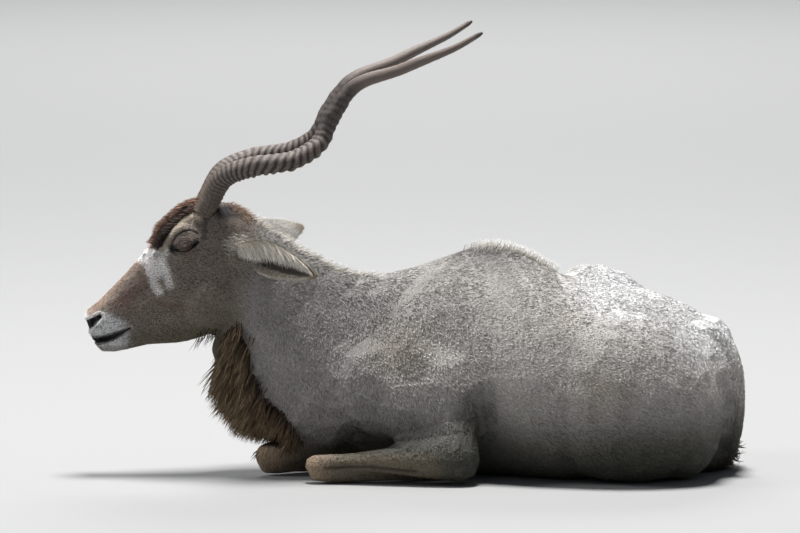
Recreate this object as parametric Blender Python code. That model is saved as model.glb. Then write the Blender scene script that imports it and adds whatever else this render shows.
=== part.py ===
"""A life-size addax lying on its chest, head raised, hindquarters rolled onto the left hip.

Metres, +Z up, floor at z = 0. The nose points along -X and the left side faces -Y.
The flesh is modelled whole from lofts and muscle forms, then parted by thin cuts.
"""
import math
import random
from collections import namedtuple

import bmesh
import bpy
import numpy as np
from mathutils import Matrix, Vector
from mathutils.bvhtree import BVHTree

Slice = namedtuple("Slice", "top_x top_z low_x low_z middle half widest top_power low_power lean")
Joint = namedtuple("Joint", "x y z side up")
Lock = namedtuple("Lock", "length width thickness lift droop")

# The whole animal
GAP = 0.0003              # kept between two touching pieces
VOXEL = 0.0042            # grid of the flesh before it is thinned out
REGION_VOXEL = 0.010      # the same for the rough regions that the legs are parted with
REGION_FACES = 260
FLESH_FACES = 3080        # triangles kept over all the flesh
HEAD_DETAIL = 0.12        # how much less the head is thinned than the body
LIMB_DETAIL = 0.55        # the same for the legs
BODY_STROKES = 84         # strokes that even the body's surface
LEG_CUT_MARGIN = 0.004    # how much fuller than the leg its region is
NECK_CUT = ((-0.115, 0, 0.26), (-0.78, 0, 0.44))       # a place on the cut and the way to the head
HEAD_CUT = ((-0.352, 0, 0.390), (-0.987, 0, 0.161))
SHARP_ANGLE = math.radians(50)

# Head pose: turned a little towards the left and tipped a little onto that side
HEAD_PIVOT = Vector((-0.30, 0.0, 0.40))
HEAD_YAW = math.radians(4.0)
HEAD_ROLL = math.radians(1.5)

# Horns: an open corkscrew round a straight axis that leans out from the head
HORN_BASE = Vector((-0.412, -0.036, 0.554))
HORN_START = -0.030       # how far the horn reaches into the head
HORN_RUN = 0.636          # straight length from base to tip
HORN_RISE = math.radians(32.4)
HORN_SPLAY = math.radians(8.0)
HORN_TWIST = (            # distance along the axis, half turns
    (0.0, 0.5), (0.104, 0.77), (0.170, 1.13), (0.232, 1.54), (0.290, 2.12), (0.366, 2.31), (0.470, 2.35),
    (0.570, 2.60), (0.636, 2.75),
)
HORN_SPREAD = (           # distance along the axis, distance from it
    (0.0, 0.0), (0.05, 0.0276), (0.104, 0.0280), (0.170, 0.0246), (0.232, 0.0194), (0.290, 0.0274),
    (0.366, 0.0488), (0.468, 0.0242), (0.570, 0.0054), (0.636, 0.002),
)
HORN_GIRTH = (            # distance along the axis, half thickness
    (0.0, 0.0215), (0.08, 0.0204), (0.20, 0.0178), (0.30, 0.0178), (0.345, 0.0158), (0.40, 0.0136),
    (0.45, 0.0121), (0.50, 0.0110), (0.55, 0.0088), (0.60, 0.0068), (0.627, 0.0054), (0.636, 0.0030),
)
HORN_RINGS = 25
HORN_RIGHT_FULLNESS = 0.97   # the right horn winds a little closer than the left
HORN_RING_SPAN = 0.335    # the part of the run that carries rings
HORN_RING_HEIGHT = 0.0026
HORN_RING_SLANT = -0.45   # how far each ring leans along the horn, in ring spacings
HORN_SIDES = 10
HORN_SMOOTH_STEPS = 16    # rows over the smooth part

# Eyes
EYE_RADIUS = 0.0175
EYE_CENTRE = Vector((-0.461, -0.0445, 0.468))
LID_THICKNESS = 0.0028

# Ears
EAR_LENGTH = 0.170
EAR_WIDTH = 0.074
EAR_WALL = 0.004
EAR_HALF = ((0.0, 0.40), (0.10, 0.62), (0.28, 0.96), (0.48, 1.0), (0.70, 0.80), (0.88, 0.44), (1.0, 0.06))
EAR_CUP = ((0.0, 1.35), (0.2, 1.15), (0.5, 0.80), (0.8, 0.52), (1.0, 0.30))
EAR_STEPS = (11, 8)       # along and across
EARS = {                  # root on the straight head, way along it, way its opening faces, droop
    "ear_left": ((-0.362, -0.050, 0.447), (0.905, -0.36, -0.14), (0.00, -0.93, -0.36), 0.018),
    "ear_right": ((-0.362, 0.050, 0.452), (0.78, 0.58, 0.22), (-0.30, 0.80, -0.55), 0.010),
}

# Legs: centres with half widths to the side and half depths, from the body outwards
RIGHT_ARM_SHIFT = (-0.080, -0.036)     # the right elbow lies further forward and closer in than the left
LEFT_FORELEG = {
    "forearm": [
        Joint(0.095, -0.168, 0.056, 0.044, 0.055),
        Joint(0.040, -0.166, 0.054, 0.040, 0.046),
        Joint(-0.050, -0.158, 0.049, 0.029, 0.030),
        Joint(-0.130, -0.150, 0.044, 0.021, 0.0205),
        Joint(-0.185, -0.144, 0.039, 0.0225, 0.0220),
        Joint(-0.202, -0.142, 0.036, 0.0220, 0.0240),
    ],
    "cannon": [
        Joint(-0.196, -0.142, 0.022, 0.0200, 0.0220),
        Joint(-0.160, -0.143, 0.014, 0.0165, 0.0155),
        Joint(-0.080, -0.130, 0.012, 0.0145, 0.0140),
        Joint(-0.015, -0.110, 0.013, 0.0145, 0.0150),
        Joint(0.006, -0.103, 0.015, 0.0180, 0.0190),
        Joint(0.028, -0.096, 0.014, 0.0150, 0.0160),
        Joint(0.044, -0.092, 0.015, 0.0170, 0.0175),
    ],
}
RIGHT_FORELEG = {
    "forearm": [
        Joint(0.010, 0.128, 0.066, 0.044, 0.054),
        Joint(-0.050, 0.098, 0.060, 0.038, 0.044),
        Joint(-0.130, 0.052, 0.054, 0.028, 0.031),
        Joint(-0.210, 0.006, 0.050, 0.0230, 0.0250),
        Joint(-0.272, -0.026, 0.046, 0.0255, 0.0290),
        Joint(-0.300, -0.034, 0.042, 0.0250, 0.0290),
    ],
    "cannon": [
        Joint(-0.294, -0.028, 0.026, 0.0225, 0.0265),
        Joint(-0.255, -0.006, 0.016, 0.0170, 0.0175),
        Joint(-0.190, 0.028, 0.012, 0.0140, 0.0145),
        Joint(-0.125, 0.062, 0.013, 0.0145, 0.0150),
        Joint(-0.100, 0.075, 0.015, 0.0180, 0.0190),
        Joint(-0.079, 0.086, 0.014, 0.0150, 0.0160),
        Joint(-0.064, 0.094, 0.015, 0.0170, 0.0175),
    ],
}
LEFT_HINDLEG = {
    "gaskin": [
        Joint(0.350, -0.080, 0.066, 0.040, 0.046),
        Joint(0.420, -0.030, 0.050, 0.032, 0.036),
        Joint(0.455, 0.020, 0.040, 0.026, 0.034),
    ],
    "cannon": [
        Joint(0.462, 0.040, 0.030, 0.022, 0.030),
        Joint(0.400, 0.080, 0.018, 0.0170, 0.0200),
        Joint(0.310, 0.128, 0.014, 0.0145, 0.0160),
        Joint(0.225, 0.172, 0.015, 0.0150, 0.0160),
        Joint(0.196, 0.187, 0.017, 0.0190, 0.0200),
        Joint(0.172, 0.199, 0.016, 0.0155, 0.0165),
        Joint(0.156, 0.207, 0.016, 0.0175, 0.0180),
    ],
}
RIGHT_HINDLEG = {
    "thigh": [
        Joint(0.462, 0.085, 0.225, 0.070, 0.095),
        Joint(0.380, 0.180, 0.215, 0.078, 0.105),
        Joint(0.300, 0.232, 0.160, 0.062, 0.078),
        Joint(0.250, 0.250, 0.130, 0.050, 0.060),
    ],
    "gaskin": [
        Joint(0.240, 0.252, 0.120, 0.048, 0.055),
        Joint(0.330, 0.272, 0.098, 0.044, 0.050),
        Joint(0.430, 0.288, 0.068, 0.028, 0.034),
        Joint(0.492, 0.293, 0.050, 0.0215, 0.036),
    ],
    "cannon": [
        Joint(0.500, 0.294, 0.036, 0.0210, 0.034),
        Joint(0.440, 0.304, 0.020, 0.0170, 0.0205),
        Joint(0.350, 0.314, 0.014, 0.0145, 0.0160),
        Joint(0.262, 0.321, 0.015, 0.0150, 0.0160),
        Joint(0.232, 0.323, 0.017, 0.0190, 0.0200),
        Joint(0.207, 0.325, 0.016, 0.0155, 0.0165),
        Joint(0.190, 0.326, 0.016, 0.0175, 0.0180),
    ],
}
LEGS = {
    "foreleg_left": LEFT_FORELEG,
    "foreleg_right": RIGHT_FORELEG,
    "hindleg_left": LEFT_HINDLEG,
    "hindleg_right": RIGHT_HINDLEG,
}
FOOT_ROOM = (0.040, 0.033, 0.036)      # half sizes of the hollow over a foot that lies under the chest
FEET = {                 # where each leg ends and its hoof begins, and where the hoof points
    "foreleg_left": ((0.048, -0.091), (0.97, 0.243)),
    "foreleg_right": ((-0.060, 0.096), (0.888, 0.46)),
    "hindleg_left": ((0.152, 0.209), (-0.90, 0.436)),
    "hindleg_right": ((0.186, 0.326), (-1.0, 0.03)),
}
HOOF_ROWS = (            # reach from the leg, half width, half height, middle height
    (GAP, 0.0115, 0.0165, 0.0165),
    (0.018, 0.0128, 0.0160, 0.0150),
    (0.040, 0.0112, 0.0120, 0.0112),
    (0.056, 0.0066, 0.0075, 0.0066),
    (0.062, 0.0026, 0.0032, 0.0034),
)
CLAW_SPACING = 0.0136     # half the distance between a foot's claws
CLAW_SIDES = 10

# Tail and its brush
TAIL_HUB = (0.500, 0.170)  # the point, in x and z, that the tail's places are seen from
TAIL_DOWN = (             # side, angle above level seen from the hub, half width, lift in half widths
    (-0.016, 62, 0.0200, -0.70),
    (-0.022, 50, 0.0190, -0.10),
    (-0.029, 37, 0.0165, 0.20),
    (-0.036, 23, 0.0138, 0.40),
    (-0.042, 7, 0.0120, 0.50),
    (-0.045, -10, 0.0108, 0.60),
    (-0.040, -26, 0.0100, 0.80),
    (-0.022, -38, 0.0094, 0.90),
    (0.006, -45, 0.0088, 0.90),
    (0.040, -47, 0.0085, 0.90),
    (0.070, -48, 0.0085, 0.90),
)
TUFT_RUN = ((0.0, 0.0), (-0.002, 0.034), (-0.009, 0.068), (-0.021, 0.100))   # the brush's way on from the tail
TUFT_HEIGHT = 0.017

# Locks of the throat mane, the forelock and the tail's brush
THROAT = ((-0.350, 0.330), (-0.331, 0.286), (-0.308, 0.240), (-0.280, 0.192), (-0.248, 0.142))
THROAT_LOCK = Lock(0.114, 0.038, 0.016, 0.032, 0.008)
THROAT_SPREAD = (-75, -45, -15, 15, 45, 75)     # degrees round the neck from its front
FOREHEAD = ((-0.428, 0.556), (-0.448, 0.541), (-0.468, 0.523), (-0.486, 0.505), (-0.502, 0.487))
FOREHEAD_LOCK = Lock(0.062, 0.020, 0.013, 0.014, 0.010)
FOREHEAD_SPREAD = (-0.030, -0.010, 0.010, 0.030)
TUFT_LOCK = Lock(0.105, 0.028, 0.014, 0.014, 0.003)
TUFT_COUNT = 7
LOCK_SINK = 0.012        # how far a lock's root lies inside what it grows from
LOCK_ROWS = ((0.0, 0.95), (0.34, 1.0), (0.68, 0.62), (1.0, 0.07))     # share along a lock, share of its width

# Colours and roughness of the finishes
FINISHES = {
    "coat": ((0.58, 0.53, 0.46), 0.85),
    "face": ((0.42, 0.36, 0.30), 0.85),
    "horn": ((0.13, 0.10, 0.085), 0.55),
    "hoof": ((0.03, 0.028, 0.026), 0.45),
    "eye": ((0.025, 0.014, 0.008), 0.08),
}


def remove_everything():
    for old in list(bpy.data.objects):
        bpy.data.objects.remove(old)


def material(name, colour, roughness):
    made = bpy.data.materials.new(name)
    made.use_nodes = True
    shader = made.node_tree.nodes["Principled BSDF"]
    shader.inputs["Base Color"].default_value = (*colour, 1.0)
    shader.inputs["Roughness"].default_value = roughness
    shader.inputs["Metallic"].default_value = 0.0
    return made


def smooth_rows(rows, per_span):
    """Rows of numbers joined by a curve through them, with per_span steps between each two."""
    rows = np.array(rows, float)
    ends = np.vstack([2 * rows[0] - rows[1], rows, 2 * rows[-1] - rows[-2]])
    found = []
    for i in range(len(rows) - 1):
        a, b, c, d = ends[i:i + 4]
        for step in range(per_span):
            t = step / per_span
            found.append(0.5 * (2 * b + (c - a) * t + (2 * a - 5 * b + 4 * c - d) * t ** 2
                                + (3 * b - a - 3 * c + d) * t ** 3))
    return np.array(found + [rows[-1]])


def curve_value(table, at):
    """The value at a place along a short table of (place, value), eased between its rows."""
    places = [row[0] for row in table]
    i = min(max(int(np.searchsorted(places, at)) - 1, 0), len(table) - 2)
    t = (at - places[i]) / (places[i + 1] - places[i])
    slopes = []
    for k in (i, i + 1):
        before, after = table[max(k - 1, 0)], table[min(k + 1, len(table) - 1)]
        slopes.append((after[1] - before[1]) / (after[0] - before[0]))
    width = places[i + 1] - places[i]
    return ((2 * t ** 3 - 3 * t ** 2 + 1) * table[i][1] + (t ** 3 - 2 * t ** 2 + t) * slopes[0] * width
            + (-2 * t ** 3 + 3 * t ** 2) * table[i + 1][1] + (t ** 3 - t ** 2) * slopes[1] * width)


def power_wave(value, power):
    return math.copysign(abs(value) ** (2.0 / power), value)


def object_from(name, points, faces):
    mesh = bpy.data.meshes.new(name)
    mesh.from_pydata([tuple(p) for p in points], [], faces)
    mesh.update()
    made = bpy.data.objects.new(name, mesh)
    bpy.context.scene.collection.objects.link(made)
    face_outwards(made)
    return made


def face_outwards(obj):
    shape = bmesh.new()
    shape.from_mesh(obj.data)
    bmesh.ops.recalc_face_normals(shape, faces=shape.faces)
    shape.to_mesh(obj.data)
    shape.free()


def rings_to_object(name, rings):
    """A closed body from rings of points, one after another, with a rounded fan at each end."""
    sides = len(rings[0])
    points = [p for ring in rings for p in ring]
    faces = []
    for r in range(len(rings) - 1):
        for k in range(sides):
            n = (k + 1) % sides
            faces.append((r * sides + k, r * sides + n, (r + 1) * sides + n, (r + 1) * sides + k))
    for first in (0, len(rings) - 1):
        hub = len(points)
        points.append(sum((Vector(p) for p in rings[first]), Vector()) / sides)
        faces += [(first * sides + k, first * sides + (k + 1) % sides, hub) for k in range(sides)]
    return object_from(name, points, faces)


def body_loft(name, slices, per_span=4, sides=28):
    """A body through slices seen from the side, each given by its top and low points."""
    rings = []
    for row in smooth_rows([list(s) for s in slices], per_span):
        s = Slice(*row)
        top = Vector((s.top_x, 0, s.top_z))
        low = Vector((s.low_x, 0, s.low_z))
        across = Vector((0, 1, 0))
        up = (top - low).normalized()
        height = (top - low).length
        centre = low + up * height * s.widest + across * s.middle
        turn_at = low + up * height * 0.5 + across * s.middle
        turn = Matrix.Rotation(math.radians(s.lean), 3, across.cross(up).normalized())
        ring = []
        for k in range(sides):
            angle = 2 * math.pi * k / sides
            c, sn = math.cos(angle), math.sin(angle)
            if sn >= 0:
                rise = power_wave(sn, s.top_power) * height * (1 - s.widest)
                out = power_wave(c, s.top_power)
            else:
                rise = power_wave(sn, s.low_power) * height * s.widest
                out = power_wave(c, s.low_power)
            point = centre + across * out * s.half + up * rise
            ring.append(turn_at + turn @ (point - turn_at))
        rings.append(ring)
    return rings_to_object(name, rings)


def limb_loft(name, joints, per_span=4, sides=14):
    """A limb through joints, each a centre with its half width to the side and its half depth."""
    rows = smooth_rows([list(j) for j in joints], per_span)
    centres = [Vector(row[:3]) for row in rows]
    rings = []
    side = (centres[1] - centres[0]).cross(Vector((0, 0, 1)))
    side = side.normalized() if side.length > 0.2 * (centres[1] - centres[0]).length else Vector((0, 1, 0))
    for i, centre in enumerate(centres):
        along = (centres[min(i + 1, len(centres) - 1)] - centres[max(i - 1, 0)]).normalized()
        side = (side - along * side.dot(along)).normalized()
        up = side.cross(along).normalized()
        half_side, half_up = rows[i][3], rows[i][4]
        rings.append([centre + side * math.cos(a) * half_side + up * math.sin(a) * half_up
                      for a in (2 * math.pi * k / sides for k in range(sides))])
    rings = rounded_end(rings, centres, 0, 1) + rings + rounded_end(rings, centres, -1, -2)[::-1]
    return rings_to_object(name, rings)


def rounded_end(rings, centres, end, inner):
    """Two shrinking rings beyond an end, so that it closes as a dome."""
    out = (centres[end] - centres[inner]).normalized()
    radius = sum((Vector(p) - centres[end]).length for p in rings[end]) / len(rings[end])
    found = []
    for angle in (70, 38):
        shrink, reach = math.cos(math.radians(angle)), math.sin(math.radians(angle)) * radius * 0.8
        found.append([centres[end] + (Vector(p) - centres[end]) * shrink + out * reach for p in rings[end]])
    return found


def ball(name, centre, radii, turn_y=0.0, turn_z=0.0, turn_x=0.0, level=3):
    """An ellipsoid muscle or pad. Turns are in degrees, applied about X, then Y, then Z."""
    shape = bmesh.new()
    bmesh.ops.create_icosphere(shape, subdivisions=level, radius=1.0)
    mesh = bpy.data.meshes.new(name)
    shape.to_mesh(mesh)
    shape.free()
    made = bpy.data.objects.new(name, mesh)
    bpy.context.scene.collection.objects.link(made)
    turn = (Matrix.Rotation(math.radians(turn_z), 4, "Z") @ Matrix.Rotation(math.radians(turn_y), 4, "Y")
            @ Matrix.Rotation(math.radians(turn_x), 4, "X"))
    mesh.transform(Matrix.Translation(centre) @ turn @ Matrix.Diagonal((*radii, 1.0)))
    return made


def box(name, low, high):
    shape = bmesh.new()
    bmesh.ops.create_cube(shape, size=1.0)
    mesh = bpy.data.meshes.new(name)
    shape.to_mesh(mesh)
    shape.free()
    low, high = Vector(low), Vector(high)
    mesh.transform(Matrix.Translation((low + high) / 2) @ Matrix.Diagonal((*(high - low), 1.0)))
    made = bpy.data.objects.new(name, mesh)
    bpy.context.scene.collection.objects.link(made)
    return made


def half_space(name, at, towards):
    """A big block that starts at a point and fills the side that towards points to."""
    reach = 2.0
    made = box(name, (-reach, -reach, 0), (reach, reach, reach))
    turn = Vector(towards).normalized().to_track_quat("Z", "Y").to_matrix().to_4x4()
    made.data.transform(Matrix.Translation(at) @ turn)
    return made


def copy_of(obj, name):
    made = bpy.data.objects.new(name, obj.data.copy())
    bpy.context.scene.collection.objects.link(made)
    return made


def mirrored(obj, name):
    """The same piece on the other side of the animal's middle."""
    made = copy_of(obj, name)
    made.data.transform(Matrix.Diagonal((1, -1, 1, 1)))
    made.data.flip_normals()
    return made


def grown(obj, name, by):
    """A copy whose surface is moved out, or in, by a little."""
    made = copy_of(obj, name)
    shape = bmesh.new()
    shape.from_mesh(made.data)
    shape.normal_update()
    moves = [(v, v.normal * v.calc_shell_factor() * by) for v in shape.verts]
    for v, move in moves:
        v.co += move
    shape.to_mesh(made.data)
    shape.free()
    return made


def drop(*objects):
    for obj in objects:
        bpy.data.objects.remove(obj)


def apply_modifiers(obj):
    graph = bpy.context.evaluated_depsgraph_get()
    mesh = bpy.data.meshes.new_from_object(obj.evaluated_get(graph))
    obj.modifiers.clear()
    obj.data = mesh
    return obj


def closed_volume(obj):
    """The volume of a closed mesh, or None where an edge is open."""
    shape = bmesh.new()
    shape.from_mesh(obj.data)
    whole = all(len(edge.link_faces) == 2 for edge in shape.edges)
    volume = shape.calc_volume(signed=True) if whole and shape.faces else None
    shape.free()
    return volume


def sound(operation, before, tool, after):
    """Whether a Boolean's result is closed and of a size that can be right."""
    if after is None or after <= 0:
        return False
    slack = 1e-9 + 0.001 * tool
    if operation == "DIFFERENCE":
        return before - tool - slack <= after <= before + slack
    if operation == "INTERSECT":
        return after <= min(before, tool) + slack
    return before - slack <= after <= before + tool + slack


def combine(obj, operation, tool_volume, set_tool):
    """One Boolean by the solver that gives a sound result."""
    source, before = obj.data, closed_volume(obj)
    for solver in ("EXACT", "MANIFOLD"):
        obj.data = source.copy()
        step = obj.modifiers.new("cut", "BOOLEAN")
        step.operation = operation
        step.solver = solver
        set_tool(step)
        bpy.context.view_layer.update()
        apply_modifiers(obj)
        if sound(operation, before, tool_volume, closed_volume(obj)):
            return obj
    raise ValueError(f"{obj.name}: no sound {operation}")


def boolean(obj, other, operation):
    def set_tool(step):
        step.object = other

    return combine(obj, operation, closed_volume(other), set_tool)


def fuse(obj, pieces):
    """One union of a body with many closed pieces, which are removed afterwards."""
    group = bpy.data.collections.new("to_fuse")
    bpy.context.scene.collection.children.link(group)
    for piece in pieces:
        group.objects.link(piece)

    def set_tool(step):
        step.operand_type = "COLLECTION"
        step.collection = group

    combine(obj, "UNION", sum(closed_volume(piece) for piece in pieces), set_tool)
    drop(*pieces)
    bpy.data.collections.remove(group)
    return obj


def keep_largest(obj):
    """Leaves only the largest closed surface of a body."""
    shape = bmesh.new()
    shape.from_mesh(obj.data)
    bmesh.ops.remove_doubles(shape, verts=shape.verts, dist=5e-6)
    bmesh.ops.dissolve_degenerate(shape, edges=shape.edges, dist=5e-6)
    bmesh.ops.triangulate(shape, faces=shape.faces)
    shape.faces.ensure_lookup_table()
    left, groups = set(shape.faces), []
    while left:
        start = left.pop()
        group, queue = {start}, [start]
        while queue:
            for edge in queue.pop().edges:
                for face in edge.link_faces if len(edge.link_faces) == 2 else ():
                    if face in left:
                        left.discard(face)
                        group.add(face)
                        queue.append(face)
        groups.append(group)
    if not groups:
        raise ValueError(obj.name + " has nothing left after its cuts")
    biggest = max(groups, key=lambda g: sum(f.calc_area() for f in g))
    bmesh.ops.delete(shape, geom=[f for g in groups if g is not biggest for f in g], context="FACES")
    bmesh.ops.delete(shape, geom=[v for v in shape.verts if not v.link_faces], context="VERTS")
    shape.to_mesh(obj.data)
    shape.free()
    return obj


def join(name, pieces):
    """Several meshes as one object, still separate shells."""
    points, faces = [], []
    for piece in pieces:
        first = len(points)
        points += [v.co.copy() for v in piece.data.vertices]
        faces += [[first + i for i in p.vertices] for p in piece.data.polygons]
    drop(*pieces)
    mesh = bpy.data.meshes.new(name)
    mesh.from_pydata(points, [], faces)
    made = bpy.data.objects.new(name, mesh)
    bpy.context.scene.collection.objects.link(made)
    return made


def head_pose():
    to_pivot = Matrix.Translation(HEAD_PIVOT)
    return (to_pivot @ Matrix.Rotation(HEAD_YAW, 4, "Z") @ Matrix.Rotation(HEAD_ROLL, 4, "X")
            @ to_pivot.inverted())


def posed(*objects):
    for obj in objects:
        obj.data.transform(head_pose())
    return list(objects)


def trunk():
    """Chest, back, belly and croup, by slices across the body from breast to buttocks."""
    return body_loft("trunk", [
        Slice(-0.190, 0.350, -0.185, 0.110, 0.00, 0.055, 0.50, 2.0, 2.0, 0),
        Slice(-0.150, 0.385, -0.150, 0.066, 0.00, 0.095, 0.48, 2.0, 1.9, 0),
        Slice(-0.070, 0.405, -0.070, 0.030, 0.00, 0.124, 0.47, 1.9, 1.8, 0),
        Slice(0.010, 0.425, 0.010, 0.006, 0.00, 0.138, 0.46, 1.8, 1.75, 0),
        Slice(0.080, 0.452, 0.080, -0.004, 0.00, 0.148, 0.46, 1.65, 1.75, 0),
        Slice(0.140, 0.466, 0.140, -0.005, 0.00, 0.158, 0.44, 1.6, 1.9, 0),
        Slice(0.190, 0.460, 0.190, -0.006, -0.005, 0.178, 0.43, 1.65, 2.1, 2),
        Slice(0.240, 0.437, 0.240, -0.006, -0.008, 0.198, 0.43, 1.8, 2.3, 4),
        Slice(0.290, 0.408, 0.290, -0.006, -0.010, 0.208, 0.44, 1.9, 2.4, 8),
        Slice(0.360, 0.392, 0.360, -0.004, -0.008, 0.200, 0.46, 1.9, 2.3, 13),
        Slice(0.440, 0.368, 0.440, 0.012, -0.004, 0.180, 0.50, 1.9, 2.2, 18),
        Slice(0.520, 0.332, 0.520, 0.035, 0.006, 0.140, 0.52, 1.9, 2.1, 18),
        Slice(0.590, 0.296, 0.590, 0.045, 0.008, 0.100, 0.52, 2.0, 2.0, 14),
        Slice(0.632, 0.256, 0.632, 0.045, 0.006, 0.068, 0.50, 2.0, 2.0, 8),
        Slice(0.650, 0.200, 0.650, 0.080, 0.004, 0.036, 0.50, 2.0, 2.0, 0),
    ])


def neck():
    """The neck, by slices from behind the jaw down into the chest."""
    return body_loft("neck", [
        Slice(-0.345, 0.530, -0.420, 0.300, -0.004, 0.044, 0.52, 2.0, 1.9, 2),
        Slice(-0.300, 0.505, -0.392, 0.285, -0.003, 0.060, 0.50, 1.9, 1.9, 2),
        Slice(-0.258, 0.480, -0.366, 0.232, -0.002, 0.068, 0.50, 1.8, 1.8, 1),
        Slice(-0.205, 0.446, -0.336, 0.170, 0.000, 0.080, 0.48, 1.8, 1.8, 0),
        Slice(-0.145, 0.415, -0.298, 0.112, 0.000, 0.097, 0.47, 1.8, 1.8, 0),
        Slice(-0.080, 0.402, -0.245, 0.066, 0.000, 0.112, 0.46, 1.8, 1.9, 0),
        Slice(0.010, 0.405, -0.160, 0.045, 0.000, 0.120, 0.46, 1.9, 2.0, 0),
    ])


def face():
    """Skull, nose and lower jaw in one, by slices from the muzzle back to the poll."""
    return body_loft("face", [
        Slice(-0.6585, 0.314, -0.6400, 0.2620, 0, 0.0150, 0.60, 2.4, 2.4, 0),
        Slice(-0.6530, 0.330, -0.6300, 0.2500, 0, 0.0265, 0.62, 2.6, 2.2, 0),
        Slice(-0.6400, 0.345, -0.6120, 0.2460, 0, 0.0310, 0.62, 2.5, 2.0, 0),
        Slice(-0.6210, 0.362, -0.5860, 0.2490, 0, 0.0320, 0.60, 2.3, 1.9, 0),
        Slice(-0.5900, 0.394, -0.5480, 0.2580, 0, 0.0315, 0.58, 2.2, 1.9, 0),
        Slice(-0.5620, 0.426, -0.5100, 0.2620, 0, 0.0355, 0.57, 2.1, 1.8, 0),
        Slice(-0.5330, 0.458, -0.4750, 0.2640, 0, 0.0430, 0.58, 2.2, 1.8, 0),
        Slice(-0.5000, 0.494, -0.4420, 0.2680, 0, 0.0510, 0.62, 2.3, 1.8, 0),
        Slice(-0.4600, 0.530, -0.4080, 0.2800, 0, 0.0560, 0.62, 2.4, 1.8, 0),
        Slice(-0.4200, 0.550, -0.3760, 0.2900, 0, 0.0570, 0.60, 2.3, 1.9, 0),
        Slice(-0.3780, 0.548, -0.3480, 0.3080, 0, 0.0540, 0.56, 2.1, 2.0, 0),
        Slice(-0.3420, 0.532, -0.3250, 0.3400, 0, 0.0470, 0.52, 2.0, 2.0, 0),
        Slice(-0.3080, 0.508, -0.3050, 0.3800, 0, 0.0350, 0.50, 2.0, 2.0, 0),
    ], sides=32)


def head_forms():
    """The muscle and bone forms that stand out on each side of the head."""
    forms = [face()]
    forms.append(ball("muzzle", (-0.640, 0, 0.322), (0.020, 0.029, 0.019), turn_y=-30))
    forms.append(ball("chin", (-0.612, 0, 0.262), (0.026, 0.021, 0.014), turn_y=8))
    sided = [
        ball("cheek", (-0.405, -0.030, 0.360), (0.062, 0.034, 0.066), turn_y=30),
        ball("cheek_ridge", (-0.470, -0.036, 0.405), (0.070, 0.018, 0.018), turn_y=38),
        ball("orbit", (-0.457, -0.037, 0.474), (0.038, 0.0265, 0.032), turn_y=20),
        ball("brow", (-0.464, -0.040, 0.494), (0.026, 0.019, 0.013), turn_y=40),
        ball("nostril_wing", (-0.645, -0.020, 0.318), (0.017, 0.012, 0.017), turn_y=-40),
        ball("upper_lip", (-0.627, -0.017, 0.296), (0.030, 0.014, 0.015), turn_y=-24),
        ball("lower_lip", (-0.600, -0.016, 0.271), (0.032, 0.010, 0.012), turn_y=-20),
        ball("horn_boss", (-0.420, -0.030, 0.530), (0.026, 0.023, 0.022), turn_y=-30),
        ball("ear_root", (-0.350, -0.050, 0.448), (0.026, 0.020, 0.027), turn_y=20),
    ]
    forms += sided + [mirrored(form, form.name + "_right") for form in sided]
    return posed(*forms)


def shoulder_forms():
    """Shoulder blades and upper arms, the same on both sides."""
    sided = [
        ball("blade", (0.045, -0.095, 0.275), (0.105, 0.052, 0.165), turn_y=24, turn_x=-17),
        ball("shoulder_point", (-0.070, -0.098, 0.185), (0.095, 0.062, 0.105), turn_y=-30),
        ball("upper_arm", (0.010, -0.128, 0.150), (0.115, 0.050, 0.085), turn_y=34),
        ball("triceps", (0.052, -0.132, 0.160), (0.080, 0.052, 0.130), turn_y=-8),
        ball("elbow", (0.080, -0.156, 0.072), (0.047, 0.042, 0.070)),
    ]
    others = [mirrored(form, form.name + "_right") for form in sided]
    for form, share in zip(others, (0.15, 0.35, 0.7, 0.6, 1.0)):
        form.data.transform(Matrix.Translation((RIGHT_ARM_SHIFT[0] * share, RIGHT_ARM_SHIFT[1] * share, 0)))
    return sided + others


def haunch_forms():
    """Thighs, buttocks and hip points of the rolled hindquarters."""
    return [
        ball("left_thigh", (0.412, -0.120, 0.168), (0.200, 0.120, 0.174), turn_y=16),
        ball("left_buttock", (0.525, -0.085, 0.120), (0.092, 0.100, 0.126)),
        ball("right_buttock", (0.549, 0.058, 0.143), (0.120, 0.098, 0.152)),
        ball("right_seat", (0.562, 0.052, 0.078), (0.096, 0.090, 0.100)),
        ball("right_pin", (0.587, 0.042, 0.261), (0.061, 0.052, 0.060), turn_y=24),
        ball("right_loin", (0.510, 0.050, 0.292), (0.090, 0.060, 0.060), turn_y=20),
        ball("right_croup", (0.470, 0.055, 0.270), (0.130, 0.085, 0.095), turn_y=22),
        ball("right_hip", (0.378, 0.090, 0.364), (0.092, 0.055, 0.052), turn_y=16),
        limb_loft("right_tensor", [
            Joint(0.385, 0.082, 0.348, 0.046, 0.046),
            Joint(0.345, 0.140, 0.275, 0.052, 0.062),
            Joint(0.300, 0.205, 0.190, 0.046, 0.056),
        ]),
        ball("left_hip", (0.330, -0.135, 0.270), (0.085, 0.055, 0.070), turn_y=20),
        ball("left_pin", (0.560, -0.070, 0.200), (0.050, 0.045, 0.060), turn_y=30),
    ]


def leg_forms():
    made = []
    for leg, lengths in LEGS.items():
        made += [limb_loft(leg + "_" + name, joints) for name, joints in lengths.items()]
    return made


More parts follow.
